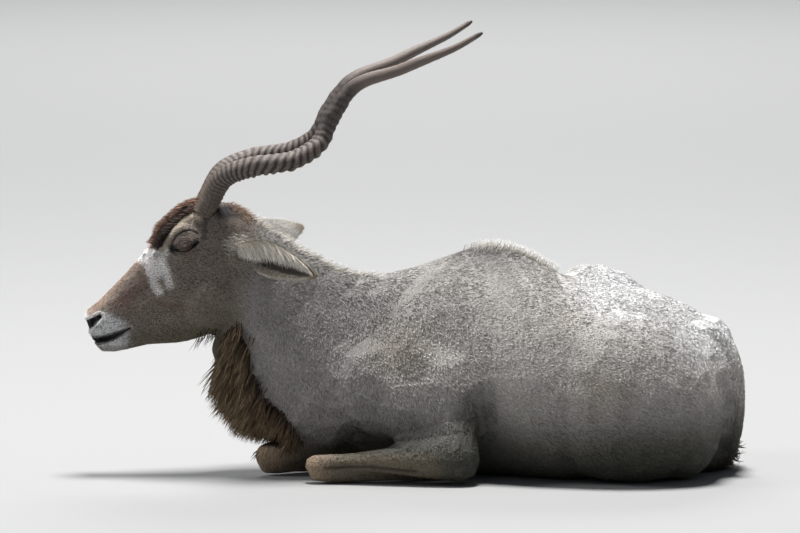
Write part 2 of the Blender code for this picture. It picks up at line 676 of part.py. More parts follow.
def leg_region(leg):
    """The closed region that a leg is parted with: its own lofts, a little fuller."""
    lengths = LEGS[leg]
    pieces = []
    for name, joints in lengths.items():
        fuller = [Joint(j.x, j.y, j.z, j.side + LEG_CUT_MARGIN, j.up + LEG_CUT_MARGIN) for j in joints]
        pieces.append(limb_loft(leg + "_region_" + name, fuller, per_span=2, sides=10))
    region = join(leg + "_region", pieces)
    step = region.modifiers.new("whole", "REMESH")
    step.mode = "VOXEL"
    step.voxel_size = REGION_VOXEL
    apply_modifiers(region)
    smooth(region, 4)
    thin_out(region, REGION_FACES)
    return region


def smooth(obj, strokes):
    step = obj.modifiers.new("smooth", "SMOOTH")
    step.factor = 0.5
    step.iterations = strokes
    bpy.context.view_layer.update()
    return apply_modifiers(obj)


def thin_out(obj, faces, group=None):
    """Fewer triangles, with a vertex group that keeps some parts finer."""
    triangles = sum(len(p.vertices) - 2 for p in obj.data.polygons)
    step = obj.modifiers.new("thin", "DECIMATE")
    step.ratio = min(1.0, faces / triangles)
    step.use_collapse_triangulate = True
    if group:
        step.vertex_group = group
        step.vertex_group_factor = 1.0
        step.invert_vertex_group = True
    bpy.context.view_layer.update()
    return apply_modifiers(obj)


def flesh():
    """All the flesh as one closed skin, smoothed where its forms meet."""
    forms = [trunk(), neck()] + head_forms() + shoulder_forms() + haunch_forms() + leg_forms()
    whole = join("flesh", forms)
    step = whole.modifiers.new("whole", "REMESH")
    step.mode = "VOXEL"
    step.voxel_size = VOXEL
    bpy.context.view_layer.update()
    apply_modifiers(whole)
    soften(whole)
    group = whole.vertex_groups.new(name="fine")
    points = np.array([v.co for v in whole.data.vertices])
    head = points[:, 0] < -0.33
    limbs = ~head & ((points[:, 2] < 0.06) | (points[:, 1] > 0.20))
    for chosen, amount in ((head, HEAD_DETAIL), (limbs, LIMB_DETAIL), (~head & ~limbs, 1.0)):
        for index in np.flatnonzero(chosen):
            group.add([int(index)], amount, "REPLACE")
    thin_out(whole, FLESH_FACES)
    return keep_largest(whole)


def soften(whole):
    """Evens the surface: long strokes over the body, short ones over the head and feet."""
    count = len(whole.data.vertices)
    points = np.empty(count * 3)
    whole.data.vertices.foreach_get("co", points)
    points = points.reshape(-1, 3)
    edges = np.empty(len(whole.data.edges) * 2, int)
    whole.data.edges.foreach_get("vertices", edges)
    a, b = edges.reshape(-1, 2).T
    links = np.bincount(a, minlength=count) + np.bincount(b, minlength=count)
    body = np.clip((points[:, 0] + 0.36) / 0.10, 0, 1)
    low = np.clip((points[:, 2] - 0.055) / 0.04, 0, 1)
    weight = 0.05 + 0.95 * body * (0.15 + 0.85 * low)
    for _ in range(BODY_STROKES):
        total = np.zeros((count, 3))
        for axis in range(3):
            total[:, axis] = (np.bincount(a, points[b, axis], count)
                              + np.bincount(b, points[a, axis], count))
        mean = total / links[:, None]
        points += (mean - points) * (0.5 * weight)[:, None]
    whole.data.vertices.foreach_set("co", points.ravel())
    whole.data.update()


def horn_centre(run, fullness=1.0):
    """The middle of the left horn at a distance along its axis."""
    twist = curve_value(HORN_TWIST, run) * math.pi
    spread = curve_value(HORN_SPREAD, run) * fullness
    forward = Vector((math.cos(HORN_RISE), 0, math.sin(HORN_RISE)))
    over = Vector((-math.sin(HORN_RISE), 0, math.cos(HORN_RISE)))
    outward = Vector((0, -1, 0))
    lean = run * math.tan(HORN_SPLAY)
    return (HORN_BASE + forward * run + over * spread * math.sin(twist)
            + outward * (lean - spread * math.cos(twist)))


def left_horn(fullness=1.0):
    """A tapered corkscrew with slanted rings over its lower half."""
    ring_step = HORN_RING_SPAN / HORN_RINGS
    runs = [HORN_START, HORN_START / 2]
    runs += [ring_step * half / 2 for half in range(2 * HORN_RINGS + 1)]
    smooth_step = (HORN_RUN - HORN_RING_SPAN) / HORN_SMOOTH_STEPS
    runs += [HORN_RING_SPAN + smooth_step * (k + 1) for k in range(HORN_SMOOTH_STEPS)]
    rings = []
    for i, run in enumerate(runs):
        held = max(run, 0.0)
        centre = horn_centre(held, fullness)
        if run < 0:
            centre = centre + (horn_centre(0.01, fullness) - centre).normalized() * run
        ahead = horn_centre(min(held + 0.004, HORN_RUN), fullness) - horn_centre(max(held - 0.004, 0.0), fullness)
        along = ahead.normalized()
        side = along.cross(Vector((0, 0, 1))).normalized()
        up = side.cross(along)
        is_ridge = 0 < run <= HORN_RING_SPAN and (i % 2 == 1)
        fade = min(1.0, (HORN_RING_SPAN - run) / 0.08 + 0.25)
        ring = []
        for k in range(HORN_SIDES):
            a = 2 * math.pi * k / HORN_SIDES
            lift = HORN_RING_HEIGHT * fade * (0.7 - 0.3 * math.sin(a)) if is_ridge else 0.0
            slant = -math.sin(a) * ring_step * HORN_RING_SLANT if 0 < run < HORN_RING_SPAN else 0.0
            radius = curve_value(HORN_GIRTH, held) + lift
            ring.append(centre + side * math.cos(a) * radius + up * math.sin(a) * radius + along * slant)
        rings.append(ring)
    return rings_to_object("horn_left", rings)


def ear(name):
    """A leaf-shaped cup of even wall, open towards one side, with a closed narrow root."""
    root, along, opening, droop = EARS[name]
    root = head_pose() @ Vector(root)
    along = Vector(along).normalized()
    opening = Vector(opening)
    opening = (opening - along * opening.dot(along)).normalized()
    across = along.cross(opening)
    long_steps, wide_steps = EAR_STEPS
    outer, inner = [], []
    for i in range(long_steps + 1):
        t = i / long_steps
        half = curve_value(EAR_HALF, t) * EAR_WIDTH / 2
        bend = curve_value(EAR_CUP, t)
        radius = half / math.sin(min(bend, 1.5))
        centre = root + along * t * EAR_LENGTH + Vector((0, 0, -1)) * droop * t ** 2
        wall = EAR_WALL * (1.0 - 0.45 * t)
        for k in range(wide_steps + 1):
            a = bend * (2 * k / wide_steps - 1)
            out = across * math.sin(a) - opening * math.cos(a)
            rim = 1.0 - 0.35 * abs(2 * k / wide_steps - 1) ** 3
            outer.append(centre + opening * radius * math.cos(bend) + out * radius)
            inner.append(centre + opening * radius * math.cos(bend) + out * (radius - wall * rim))
    columns = wide_steps + 1
    points, faces = outer + inner, []
    shift = len(outer)
    for i in range(long_steps):
        for k in range(wide_steps):
            a, b = i * columns + k, i * columns + k + 1
            c, d = b + columns, a + columns
            faces += [(a, b, c), (a, c, d), (shift + a, shift + c, shift + b), (shift + a, shift + d, shift + c)]
    rim_loop = [i * columns for i in range(long_steps + 1)]
    rim_loop += [long_steps * columns + k for k in range(1, columns)]
    rim_loop += [i * columns + wide_steps for i in range(long_steps - 1, -1, -1)]
    rim_loop += [k for k in range(wide_steps - 1, 0, -1)]
    for p, q in zip(rim_loop, rim_loop[1:] + rim_loop[:1]):
        faces += [(p, q, shift + q), (p, shift + q, shift + p)]
    return object_from(name, points, faces)


def claw(name, at, heading, sign):
    """One claw of a foot: flat where it meets the leg, flat under its sole, pointed in front."""
    heading = Vector((heading[0], heading[1], 0)).normalized()
    side = Vector((-heading.y, heading.x, 0)) * sign
    rings = []
    for reach, half, up, middle in HOOF_ROWS:
        centre = Vector((at[0], at[1], middle)) + heading * reach + side * (CLAW_SPACING - reach * 0.02)
        ring = [centre + side * math.cos(a) * half + Vector((0, 0, math.sin(a) * up))
                for a in (2 * math.pi * k / CLAW_SIDES for k in range(CLAW_SIDES))]
        rings.append([Vector((p.x, p.y, max(p.z, 0.0))) for p in ring])
    return rings_to_object(name, rings)


def head_details(head):
    """Lids, eye sockets, nostrils and the mouth line, cut into the head."""
    pose = head_pose()
    for sign in (-1, 1):
        centre = Vector((EYE_CENTRE.x, EYE_CENTRE.y * -sign, EYE_CENTRE.z))
        lid = ball("lid", pose @ centre, (EYE_RADIUS + LID_THICKNESS,) * 3, level=2)
        opening = ball("lid_opening", pose @ (centre + Vector((-0.001, 0.020 * sign, -0.0015))),
                       (0.0165, 0.0120, 0.0084), turn_y=22, level=2)
        socket = ball("socket", pose @ centre, (EYE_RADIUS + 2 * GAP,) * 3, level=2)
        boolean(head, lid, "UNION")
        boolean(head, opening, "DIFFERENCE")
        boolean(head, socket, "DIFFERENCE")
        drop(lid, opening, socket)
        nostril = ball("nostril", pose @ Vector((-0.6480, 0.0235 * sign, 0.3060)),
                       (0.0165, 0.0085, 0.0072), turn_y=-38, turn_z=-20 * sign, level=2)
        boolean(head, nostril, "DIFFERENCE")
        drop(nostril)
    boolean(head, posed(mouth())[0], "DIFFERENCE")
    drop(bpy.data.objects["mouth"])
    return head


def mouth():
    """The parting of the lips: a flattened tube round the muzzle, thickest near the front."""
    half = [
        Joint(-0.5720, -0.0345, 0.2965, 0.0045, 0.0010),
        Joint(-0.5880, -0.0330, 0.2910, 0.0075, 0.0034),
        Joint(-0.6100, -0.0300, 0.2830, 0.0080, 0.0052),
        Joint(-0.6320, -0.0225, 0.2765, 0.0080, 0.0042),
        Joint(-0.6430, 0.0000, 0.2740, 0.0080, 0.0030),
    ]
    other = [Joint(j.x, -j.y, j.z, j.side, j.up) for j in reversed(half[:-1])]
    return limb_loft("mouth", half + other, per_span=1, sides=6)


def eyeball(name, side):
    centre = Vector((EYE_CENTRE.x, EYE_CENTRE.y * side, EYE_CENTRE.z))
    return ball(name, head_pose() @ centre, (EYE_RADIUS,) * 3, level=2)


def part_off(body, region, name):
    """Splits a body by a closed region: what lies inside becomes a node, and a thin gap is left."""
    inner = grown(region, "inner", -GAP / 2)
    outer = grown(region, "outer", GAP / 2)
    node = copy_of(body, name)
    boolean(node, inner, "INTERSECT")
    boolean(body, outer, "DIFFERENCE")
    drop(inner, outer)
    keep_largest(node)
    return node


def rump_spot(ground, side, angle):
    """Where the rump's surface lies, seen from the hub at an angle above level, and its direction."""
    hub = Vector((TAIL_HUB[0], side, TAIL_HUB[1]))
    away = Vector((math.cos(math.radians(angle)), 0, math.sin(math.radians(angle))))
    spot = ground.ray_cast(hub + away, -away)[0]
    return hub, away, (spot - hub).length


def tail(torso):
    """The tail, laid down the back of the rump and curled to the right where it meets the floor."""
    ground = tree_of(torso)
    rows = smooth_rows(TAIL_DOWN, 2)
    joints, reaches = [], []
    for side, angle, half, lift in rows:
        reaches.append(max(rump_spot(ground, side + shift * half, angle)[2] for shift in (-1, 0, 1)))
    for i, (side, angle, half, lift) in enumerate(rows):
        near = reaches[max(i - 2, 0):i + 3]
        hub, away, _ = rump_spot(ground, side, angle)
        place = hub + away * (sum(near) / len(near) + lift * half)
        joints.append(Joint(place.x, place.y, max(place.z, half * 0.9), half, half * 0.94))
    run = [Vector((joints[-1].x + x, joints[-1].y + y, TUFT_HEIGHT)) for x, y in TUFT_RUN]
    return limb_loft("tail", joints, per_span=1, sides=8), run


def lock(name, root, out, lie, size, rng):
    """One flat tapered lock: its root inside the flesh, its tip lifted and bent over."""
    lie = (lie - out * lie.dot(out)).normalized()
    side = out.cross(lie).normalized()
    length = size.length * rng.uniform(0.85, 1.15)
    sway = rng.uniform(-0.12, 0.12)
    rings = []
    for t, wide in LOCK_ROWS:
        centre = (root + lie * length * t + side * sway * length * t * t
                  + out * (size.lift * math.sin(t * 2.2) - LOCK_SINK * (1 - t) ** 2)
                  + Vector((0, 0, -size.droop * t * t)))
        half, deep = size.width / 2 * wide, size.thickness / 2 * wide
        rings.append([centre + side * half, centre + out * deep, centre - side * half, centre - out * deep])
    return rings_to_object(name, rings)


def tree_of(obj):
    return BVHTree.FromPolygons([v.co for v in obj.data.vertices], [p.vertices for p in obj.data.polygons])


def throat_locks(neck):
    """Overlapping locks down the front and the lower sides of the neck, swept a little forward."""
    rng = random.Random(11)
    ground = tree_of(neck)
    made = []
    for row, (x, z) in enumerate(THROAT):
        for column, turn in enumerate(THROAT_SPREAD):
            angle = math.radians(turn + (row % 2 - 0.5) * 15 + rng.uniform(-4, 4))
            away = Vector((-0.94 * math.cos(angle), math.sin(angle), -0.34 * math.cos(angle)))
            middle = Vector((x, 0, z + (0.5 - column % 2) * 0.018))
            spot, normal, _, _ = ground.ray_cast(middle + away * 0.30, -away)
            if spot is None:
                continue
            lie = Vector((-0.42 + 0.06 * row, normal.y * 0.25, -1.0))
            made.append(lock(f"throat_{row}_{column}", spot, normal, lie, THROAT_LOCK, rng))
    return made


def forehead_locks(head):
    """The forelock: locks from between the horns, lying forward down the forehead."""
    rng = random.Random(5)
    ground = tree_of(head)
    pose = head_pose()
    turn = pose.to_3x3()
    made = []
    for row, (x, z) in enumerate(FOREHEAD):
        for column, y in enumerate(FOREHEAD_SPREAD):
            narrow = y * (0.75 if row == 0 else 1.0)
            start = pose @ Vector((x - 0.09, narrow, z + 0.09))
            aim = turn @ Vector((0.7, 0, -0.7))
            spot, normal, _, _ = ground.ray_cast(start, aim)
            if spot is None:
                continue
            lie = turn @ Vector((-0.72, y * 6, -0.70))
            made.append(lock(f"forehead_{row}_{column}", spot, normal, lie, FOREHEAD_LOCK, rng))
    return made


def tuft_locks(run):
    """The tail's brush: locks spread round the tail's end, swept along the floor behind the rump."""
    rng = random.Random(3)
    path = [Vector(row) for row in smooth_rows([list(p) for p in run], 4)]
    made = []
    for i in range(TUFT_COUNT):
        around = 2 * math.pi * i / TUFT_COUNT
        first = (i * 2) % 5
        start = path[first]
        lie = path[min(first + 5, len(path) - 1)] - start
        across = Vector((lie.y, -lie.x, 0)).normalized()
        out = across * math.cos(around) + Vector((0, 0, 1)) * math.sin(around)
        made.append(lock(f"tuft_{i}", start + out * 0.005, out, lie, TUFT_LOCK, rng))
    return made


def throat_core():
    """The mat under the throat mane, less than half as thick as the hair."""
    return body_loft("mane", [
        Slice(-0.382, 0.300, -0.394, 0.268, 0.0, 0.018, 0.5, 2, 2, 0),
        Slice(-0.340, 0.270, -0.382, 0.205, 0.0, 0.034, 0.5, 2, 2, 0),
        Slice(-0.310, 0.210, -0.362, 0.148, 0.0, 0.040, 0.5, 2, 2, 0),
        Slice(-0.270, 0.160, -0.326, 0.094, 0.0, 0.038, 0.5, 2, 2, 0),
        Slice(-0.240, 0.120, -0.276, 0.068, 0.0, 0.026, 0.5, 2, 2, 0),
    ], per_span=2, sides=12)


def forelock_core():
    """The mat under the forelock, half as thick as the hair."""
    pad = body_loft("forelock", [
        Slice(-0.5230, 0.470, -0.5130, 0.456, 0, 0.018, 0.5, 2, 2, 0),
        Slice(-0.5130, 0.490, -0.4950, 0.470, 0, 0.030, 0.5, 2, 2, 0),
        Slice(-0.4950, 0.514, -0.4760, 0.492, 0, 0.036, 0.5, 2, 2, 0),
        Slice(-0.4690, 0.540, -0.4500, 0.515, 0, 0.036, 0.5, 2, 2, 0),
        Slice(-0.4320, 0.560, -0.4200, 0.530, 0, 0.026, 0.5, 2, 2, 0),
    ], per_span=2, sides=14)
    return posed(pad)[0]


def finish(obj, name, kind, parent):
    """Names a sub-part, gives it its own material, and sets its origin at its middle under the parent."""
    colour, roughness = FINISHES[kind]
    obj.name = name
    obj.data.name = name
    obj.data.materials.clear()
    obj.data.materials.append(material(name, colour, roughness))
    obj.data.shade_smooth()
    obj.data.set_sharp_from_angle(angle=SHARP_ANGLE)
    corners = [Vector(corner) for corner in obj.bound_box]
    middle = (corners[0] + corners[6]) / 2
    obj.data.transform(Matrix.Translation(-middle))
    obj.location = middle
    obj.parent = parent


def foot_block(name, at, heading):
    """A low block in front of a leg's end, that leaves room for its claws."""
    made = box(name, (0, -0.030, -0.02), (0.070, 0.030, 0.036))
    turn = Matrix.Rotation(math.atan2(heading[1], heading[0]), 4, "Z")
    made.data.transform(Matrix.Translation((at[0], at[1], 0)) @ turn)
    return made


def make_room(body, piece):
    """Cuts the space of a piece, and the thin gap round it, out of a body."""
    wide = grown(piece, "wide", GAP)
    boolean(body, wide, "DIFFERENCE")
    drop(wide)


def centre_on_floor(pieces):
    """Moves every node so that the origin is under the middle of the whole animal."""
    corners = [v.co for piece in pieces for v in piece.data.vertices]
    low = [min(c[i] for c in corners) for i in range(3)]
    high = [max(c[i] for c in corners) for i in range(3)]
    move = Vector((-(low[0] + high[0]) / 2, -(low[1] + high[1]) / 2, -low[2]))
    for piece in pieces:
        piece.data.transform(Matrix.Translation(move))


def build():
    remove_everything()
    whole = flesh()
    floor = half_space("floor", (0, 0, 0), (0, 0, -1))
    boolean(whole, floor, "DIFFERENCE")
    drop(floor)

    nodes = {}
    regions = {leg: leg_region(leg) for leg in LEGS}
    for leg, region in regions.items():
        nodes[leg] = part_off(whole, region, leg)
    neck_cut = half_space("neck_cut", *NECK_CUT)
    front = part_off(whole, neck_cut, "front")
    head_cut = half_space("head_cut", *HEAD_CUT)
    nodes["head"] = part_off(front, head_cut, "head")
    drop(neck_cut, head_cut)
    nodes["neck"] = front
    nodes["torso"] = whole

    bare_head = grown(nodes["head"], "bare_head", 0.9 * GAP)
    head_details(nodes["head"])

    eyes = {"eye_left": eyeball("eye_left", 1), "eye_right": eyeball("eye_right", -1)}
    other = left_horn(HORN_RIGHT_FULLNESS)
    horns = {"horn_left": left_horn(), "horn_right": mirrored(other, "horn_right")}
    drop(other)
    posed(*horns.values())
    ears = {name: ear(name) for name in EARS}
    tail_core, tuft_run = tail(nodes["torso"])
    locks = forehead_locks(nodes["head"])
    fuse(nodes["head"], [forelock_core()])
    fuse(nodes["head"], locks)
    locks = throat_locks(nodes["neck"])
    fuse(nodes["neck"], [throat_core()])
    fuse(nodes["neck"], locks)
    for leg in ("foreleg_left", "foreleg_right"):
        make_room(nodes["neck"], regions[leg])
    boolean(nodes["neck"], bare_head, "DIFFERENCE")
    drop(bare_head, *regions.values())
    for piece in horns.values():
        make_room(nodes["head"], piece)
    for piece in ears.values():
        make_room(nodes["head"], piece)
        make_room(nodes["neck"], piece)
    nodes["tail"] = fuse(tail_core, tuft_locks(tuft_run))
    above = half_space("floor", (0, 0, 0), (0, 0, -1))
    boolean(nodes["tail"], above, "DIFFERENCE")
    drop(above)
    bare_torso = grown(nodes["torso"], "bare_torso", GAP)
    boolean(nodes["tail"], bare_torso, "DIFFERENCE")
    drop(bare_torso)

    for leg, (at, heading) in FEET.items():
        end = foot_block("end", at, heading)
        boolean(nodes[leg], end, "DIFFERENCE")
        keep_largest(nodes[leg])
        drop(end)
        hollow = ball("hollow", (at[0] + heading[0] * 0.030, at[1] + heading[1] * 0.030, 0.004),
                      FOOT_ROOM, turn_z=math.degrees(math.atan2(heading[1], heading[0])), level=2)
        boolean(nodes["torso"], hollow, "DIFFERENCE")
        drop(hollow)
        for sign, side in ((1, "inner"), (-1, "outer")):
            name = leg.replace("leg", "hoof") + "_" + side
            nodes[name] = claw(name, at, heading, sign)

    everything = {**nodes, **eyes, **horns, **ears}
    for piece in everything.values():
        keep_largest(piece)
    centre_on_floor(everything.values())
    parent = bpy.data.objects.new("addax", None)
    bpy.context.scene.collection.objects.link(parent)
    for name, piece in everything.items():
        kind = name.split("_")[0]
        if kind in ("head", "ear"):
            kind = "face"
        elif kind.endswith("hoof"):
            kind = "hoof"
        elif kind not in FINISHES:
            kind = "coat"
        finish(piece, name, kind, parent)


build()
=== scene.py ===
# The addax, lying on its chest: hide, coat, mane, horns, ears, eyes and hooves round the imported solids.
import math

import bpy
import numpy as np
from mathutils import Matrix, Vector


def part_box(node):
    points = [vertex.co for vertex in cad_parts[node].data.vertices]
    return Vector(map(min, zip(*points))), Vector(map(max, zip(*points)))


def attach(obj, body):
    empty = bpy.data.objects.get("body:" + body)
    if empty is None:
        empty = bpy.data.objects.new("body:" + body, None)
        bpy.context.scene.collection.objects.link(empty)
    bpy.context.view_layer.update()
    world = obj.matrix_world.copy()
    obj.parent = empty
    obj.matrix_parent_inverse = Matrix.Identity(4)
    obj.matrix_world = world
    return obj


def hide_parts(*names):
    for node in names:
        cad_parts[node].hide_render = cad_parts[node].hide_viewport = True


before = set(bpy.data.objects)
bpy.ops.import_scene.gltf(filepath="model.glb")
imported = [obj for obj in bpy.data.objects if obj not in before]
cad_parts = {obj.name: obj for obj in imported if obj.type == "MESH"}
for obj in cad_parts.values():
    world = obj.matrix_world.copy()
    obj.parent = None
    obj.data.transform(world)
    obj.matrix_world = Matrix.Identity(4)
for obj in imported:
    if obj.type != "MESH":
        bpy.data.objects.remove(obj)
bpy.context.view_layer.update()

draw = np.random.default_rng(17)

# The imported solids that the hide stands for, and the claws of the hooves
FLESH = ("torso", "neck", "head", "tail", "foreleg_left", "foreleg_right", "hindleg_left", "hindleg_right")
HOOVES = [f"{end}hoof_{hand}_{side}" for end in ("fore", "hind") for hand in ("left", "right")
          for side in ("inner", "outer")]

# The drawing frame: nose towards -X, left side towards -Y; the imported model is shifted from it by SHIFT
HEAD_PIVOT = Vector((-0.30, 0.0, 0.40))
HEAD_YAW = math.radians(4.0)
HEAD_ROLL = math.radians(1.5)
EYE_CENTRE = Vector((-0.461, -0.0445, 0.468))
EYE_RADIUS = 0.0175


def head_pose():
    """How the head is turned on the neck."""
    to_pivot = Matrix.Translation(HEAD_PIVOT)
    turn = Matrix.Rotation(HEAD_YAW, 4, "Z") @ Matrix.Rotation(HEAD_ROLL, 4, "X")
    return to_pivot @ turn @ to_pivot.inverted()


def box_middle(node):
    """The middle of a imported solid's box."""
    low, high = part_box(node)
    return (low + high) / 2


HEAD_POSE = head_pose()
SHIFT = box_middle("eye_left") - HEAD_POSE @ EYE_CENTRE
shift = np.array(SHIFT)


def ease(t):
    """0 to 1 with a soft start and end."""
    t = np.clip(t, 0.0, 1.0)
    return t * t * (3 - 2 * t)


def band(value, low, high, soft):
    """1 between two values, fading over a soft width on either side."""
    return ease((value - low) / soft + 0.5) * ease((high - value) / soft + 0.5)


def spot(points, centre, reach):
    """1 at a place, easing to 0 at its reach, which may differ by axis."""
    return ease(1 - np.linalg.norm((points - np.array(centre)) / np.array(reach), axis=1))


def line_distance(points, path):
    """Distance of each point to a path of straight lines, with how far along the path it is, from 0 to 1."""
    path = np.array(path, float)
    steps = np.linalg.norm(np.diff(path, axis=0), axis=1)
    total = steps.sum()
    best = np.full(len(points), 1e9)
    along = np.zeros(len(points))
    gone = 0.0
    for a, b, step in zip(path, path[1:], steps):
        t = np.clip((points - a) @ (b - a) / step ** 2, 0, 1)
        away = np.linalg.norm(points - a - t[:, None] * (b - a), axis=1)
        nearer = away < best
        best = np.where(nearer, away, best)
        along = np.where(nearer, (gone + t * step) / total, along)
        gone += step
    return best, along


def unit(vectors):
    """Directions of length 1."""
    return vectors / np.maximum(np.linalg.norm(vectors, axis=1), 1e-9)[:, None]


def to_head(points):
    """Places on the turned head, taken back to the straight head, where both sides are alike."""
    back = np.array(HEAD_POSE.inverted())
    return points @ back[:3, :3].T + back[:3, 3]


def posed(points):
    """Places on the straight head, moved to where they are on the turned head."""
    pose = np.array(HEAD_POSE)
    return points @ pose[:3, :3].T + pose[:3, 3]


def folded(points):
    """Places on either side, taken to the right side."""
    return np.column_stack((points[:, 0], np.abs(points[:, 1]), points[:, 2]))


def curve(table, at):
    """The values along a short table of (place, value), eased between its rows."""
    places, values = np.array(table, float).T
    slopes = np.empty(len(places))
    slopes[1:-1] = (values[2:] - values[:-2]) / (places[2:] - places[:-2])
    slopes[0] = (values[1] - values[0]) / (places[1] - places[0])
    slopes[-1] = (values[-1] - values[-2]) / (places[-1] - places[-2])
    i = np.clip(np.searchsorted(places, at) - 1, 0, len(places) - 2)
    width = places[i + 1] - places[i]
    t = (at - places[i]) / width
    return ((2 * t ** 3 - 3 * t ** 2 + 1) * values[i] + (t ** 3 - 2 * t ** 2 + t) * slopes[i] * width
            + (-2 * t ** 3 + 3 * t ** 2) * values[i + 1] + (t ** 3 - t ** 2) * slopes[i + 1] * width)


# Meshes read and written as arrays

def pick(obj):
    """Makes one object the only selected one, and the active one."""
    bpy.ops.object.select_all(action="DESELECT")
    obj.select_set(True)
    bpy.context.view_layer.objects.active = obj


def modify(obj, kind, **settings):
    """Adds a modifier with its settings and applies it."""
    pick(obj)
    step = obj.modifiers.new(kind.lower(), kind)
    for name, value in settings.items():
        setattr(step, name, value)
    bpy.ops.object.modifier_apply(modifier=step.name)


def read(collection, name, width, kind=float):
    """One value of every point, edge, face or corner, as rows."""
    values = np.empty(len(collection) * width, kind)
    collection.foreach_get(name, values)
    return values.reshape(-1, width)


def read_points(obj):
    """The mesh's points in the drawing frame."""
    return read(obj.data.vertices, "co", 3) - shift


def write_points(obj, points):
    """Moves the mesh's points to places in the drawing frame."""
    obj.data.vertices.foreach_set("co", (points + shift).ravel())
    obj.data.update()


def mesh_piece(name, points, faces, corners=3):
    """A new piece from points in the drawing frame, and from faces that all have as many corners."""
    mesh = bpy.data.meshes.new(name)
    mesh.vertices.add(len(points))
    mesh.vertices.foreach_set("co", (points + shift).astype(np.float32).ravel())
    mesh.loops.add(len(faces) * corners)
    mesh.loops.foreach_set("vertex_index", faces.astype(np.int32).ravel())
    mesh.polygons.add(len(faces))
    mesh.polygons.foreach_set("loop_start", np.arange(0, len(faces) * corners, corners, dtype=np.int32))
    mesh.update(calc_edges=True)
    made = bpy.data.objects.new(name, mesh)
    bpy.context.scene.collection.objects.link(made)
    return made


def mixed(colours, over, share):
    """Colours with another laid over them, by its share at each place."""
    return colours + (np.array(over) - colours) * np.asarray(share)[..., None]


def paint(obj, colours):
    """Gives each point of a mesh its own colour, which its material reads."""
    tone = obj.data.attributes.new("tone", "FLOAT_COLOR", "POINT")
    full = np.ones((len(colours), 4), np.float32)
    full[:, :3] = colours
    tone.data.foreach_set("color", full.ravel())


# The hide

HIDE_GRID = 0.0030           # spacing of the first skin's grid
HIDE_FACES = 84000           # triangles left by the thinning, before the head is divided again
CLOSE_GAPS = 0.0007          # how far the solids are grown, so that the thin gaps between them close
BODY_DEPTH, FACE_DEPTH, LEG_DEPTH = 0.0030, 0.0012, 0.0016
LIGHT_STROKES, FULL_STROKES = 6, 36
MANE_LINE = ((-0.385, 0, 0.300), (-0.350, 0, 0.235), (-0.310, 0, 0.170), (-0.262, 0, 0.105))
MANE_EDGE = (            # how far back the mane reaches on the side of the neck: height and x
    (0.08, -0.232), (0.12, -0.262), (0.16, -0.306), (0.21, -0.330), (0.27, -0.337), (0.31, -0.350),
)
FORELOCK_LINE = ((-0.425, 0, 0.566), (-0.475, 0, 0.522), (-0.520, 0, 0.470))
NECK_AXIS = (            # middle of the plain neck in x and z, half its depth and half its width
    (-0.3825, 0.415, 0.121, 0.046),
    (-0.3460, 0.395, 0.119, 0.060),
    (-0.3120, 0.356, 0.135, 0.068),
    (-0.2705, 0.308, 0.153, 0.080),
    (-0.2215, 0.264, 0.170, 0.097),
    (-0.1625, 0.234, 0.187, 0.112),
)
NECK_POWER = 1.85            # of the neck's cross-section, a little leaner than an ellipse
NECK_MARGIN = 1.04           # size of the trimmed throat beside the plain neck
BROW_LINE = (            # the bare forehead under the forelock, in x and z
    (-0.545, 0.446), (-0.533, 0.458), (-0.500, 0.494), (-0.460, 0.530), (-0.420, 0.550), (-0.378, 0.548),
)
BRUSH_CORE = 0.006           # half thickness of the tail under its brush
BRUSH_MIDDLE = (0.618, 0, 0.012)
LIDS_REGION = [((EYE_CENTRE.x + 0.002, side * 0.062, EYE_CENTRE.z), 0.040) for side in (-1, 1)]
HEAD_REGION = [((-0.620, 0.0, 0.300), 0.062)] + [
    ((EYE_CENTRE.x, side * 0.05, EYE_CENTRE.z), 0.062) for side in (-1, 1)]


def mane_share(points):
    """1 in the throat mane, 0 away from it."""
    away, _ = line_distance(points * (1, 0.6, 1), MANE_LINE)
    return ease((0.098 - away) / 0.035)


def before_mane_edge(points):
    """1 in front of the line where the mane ends on the side of the neck, 0 behind it."""
    heights, places = np.array(MANE_EDGE).T
    return ease((np.interp(points[:, 2], heights, places) - points[:, 0]) / 0.040 + 0.5)


def forelock_share(points):
    """1 in the forelock, 0 away from it."""
    local = to_head(points)
    away, _ = line_distance(local * (1, 0.5, 1), FORELOCK_LINE)
    return ease((0.036 - away) / 0.012)


def face_share(points):
    """1 on the head, 0 on the neck and body."""
    local = to_head(points)
    return ease((-0.335 - local[:, 0] + 0.25 * (local[:, 2] - 0.42)) / 0.06 + 0.5)


def leg_share(points):
    """1 on the lower legs and feet, 0 on the body."""
    low = ease((0.075 - points[:, 2]) / 0.03)
    front = low * ease((0.075 - points[:, 0]) / 0.05)
    hind = low * ease((points[:, 1] - 0.215) / 0.03)
    return np.maximum(front, hind) * (1 - face_share(points))


def brush_share(points):
    """1 in the tail's brush on the floor behind the rump."""
    x, y, z = points.T
    return ease((x - 0.565) / 0.02) * ease((0.060 - z) / 0.02) * ease(y / 0.03 + 0.5)


def merged_copy(node, name):
    """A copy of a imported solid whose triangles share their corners."""
    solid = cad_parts[node]
    copy = bpy.data.objects.new(name, solid.data.copy())
    copy.data.transform(solid.matrix_world)
    bpy.context.scene.collection.objects.link(copy)
    pick(copy)
    bpy.ops.object.mode_set(mode="EDIT")
    bpy.ops.mesh.select_all(action="SELECT")
    bpy.ops.mesh.remove_doubles(threshold=0.00001)
    bpy.ops.object.mode_set(mode="OBJECT")
    return copy


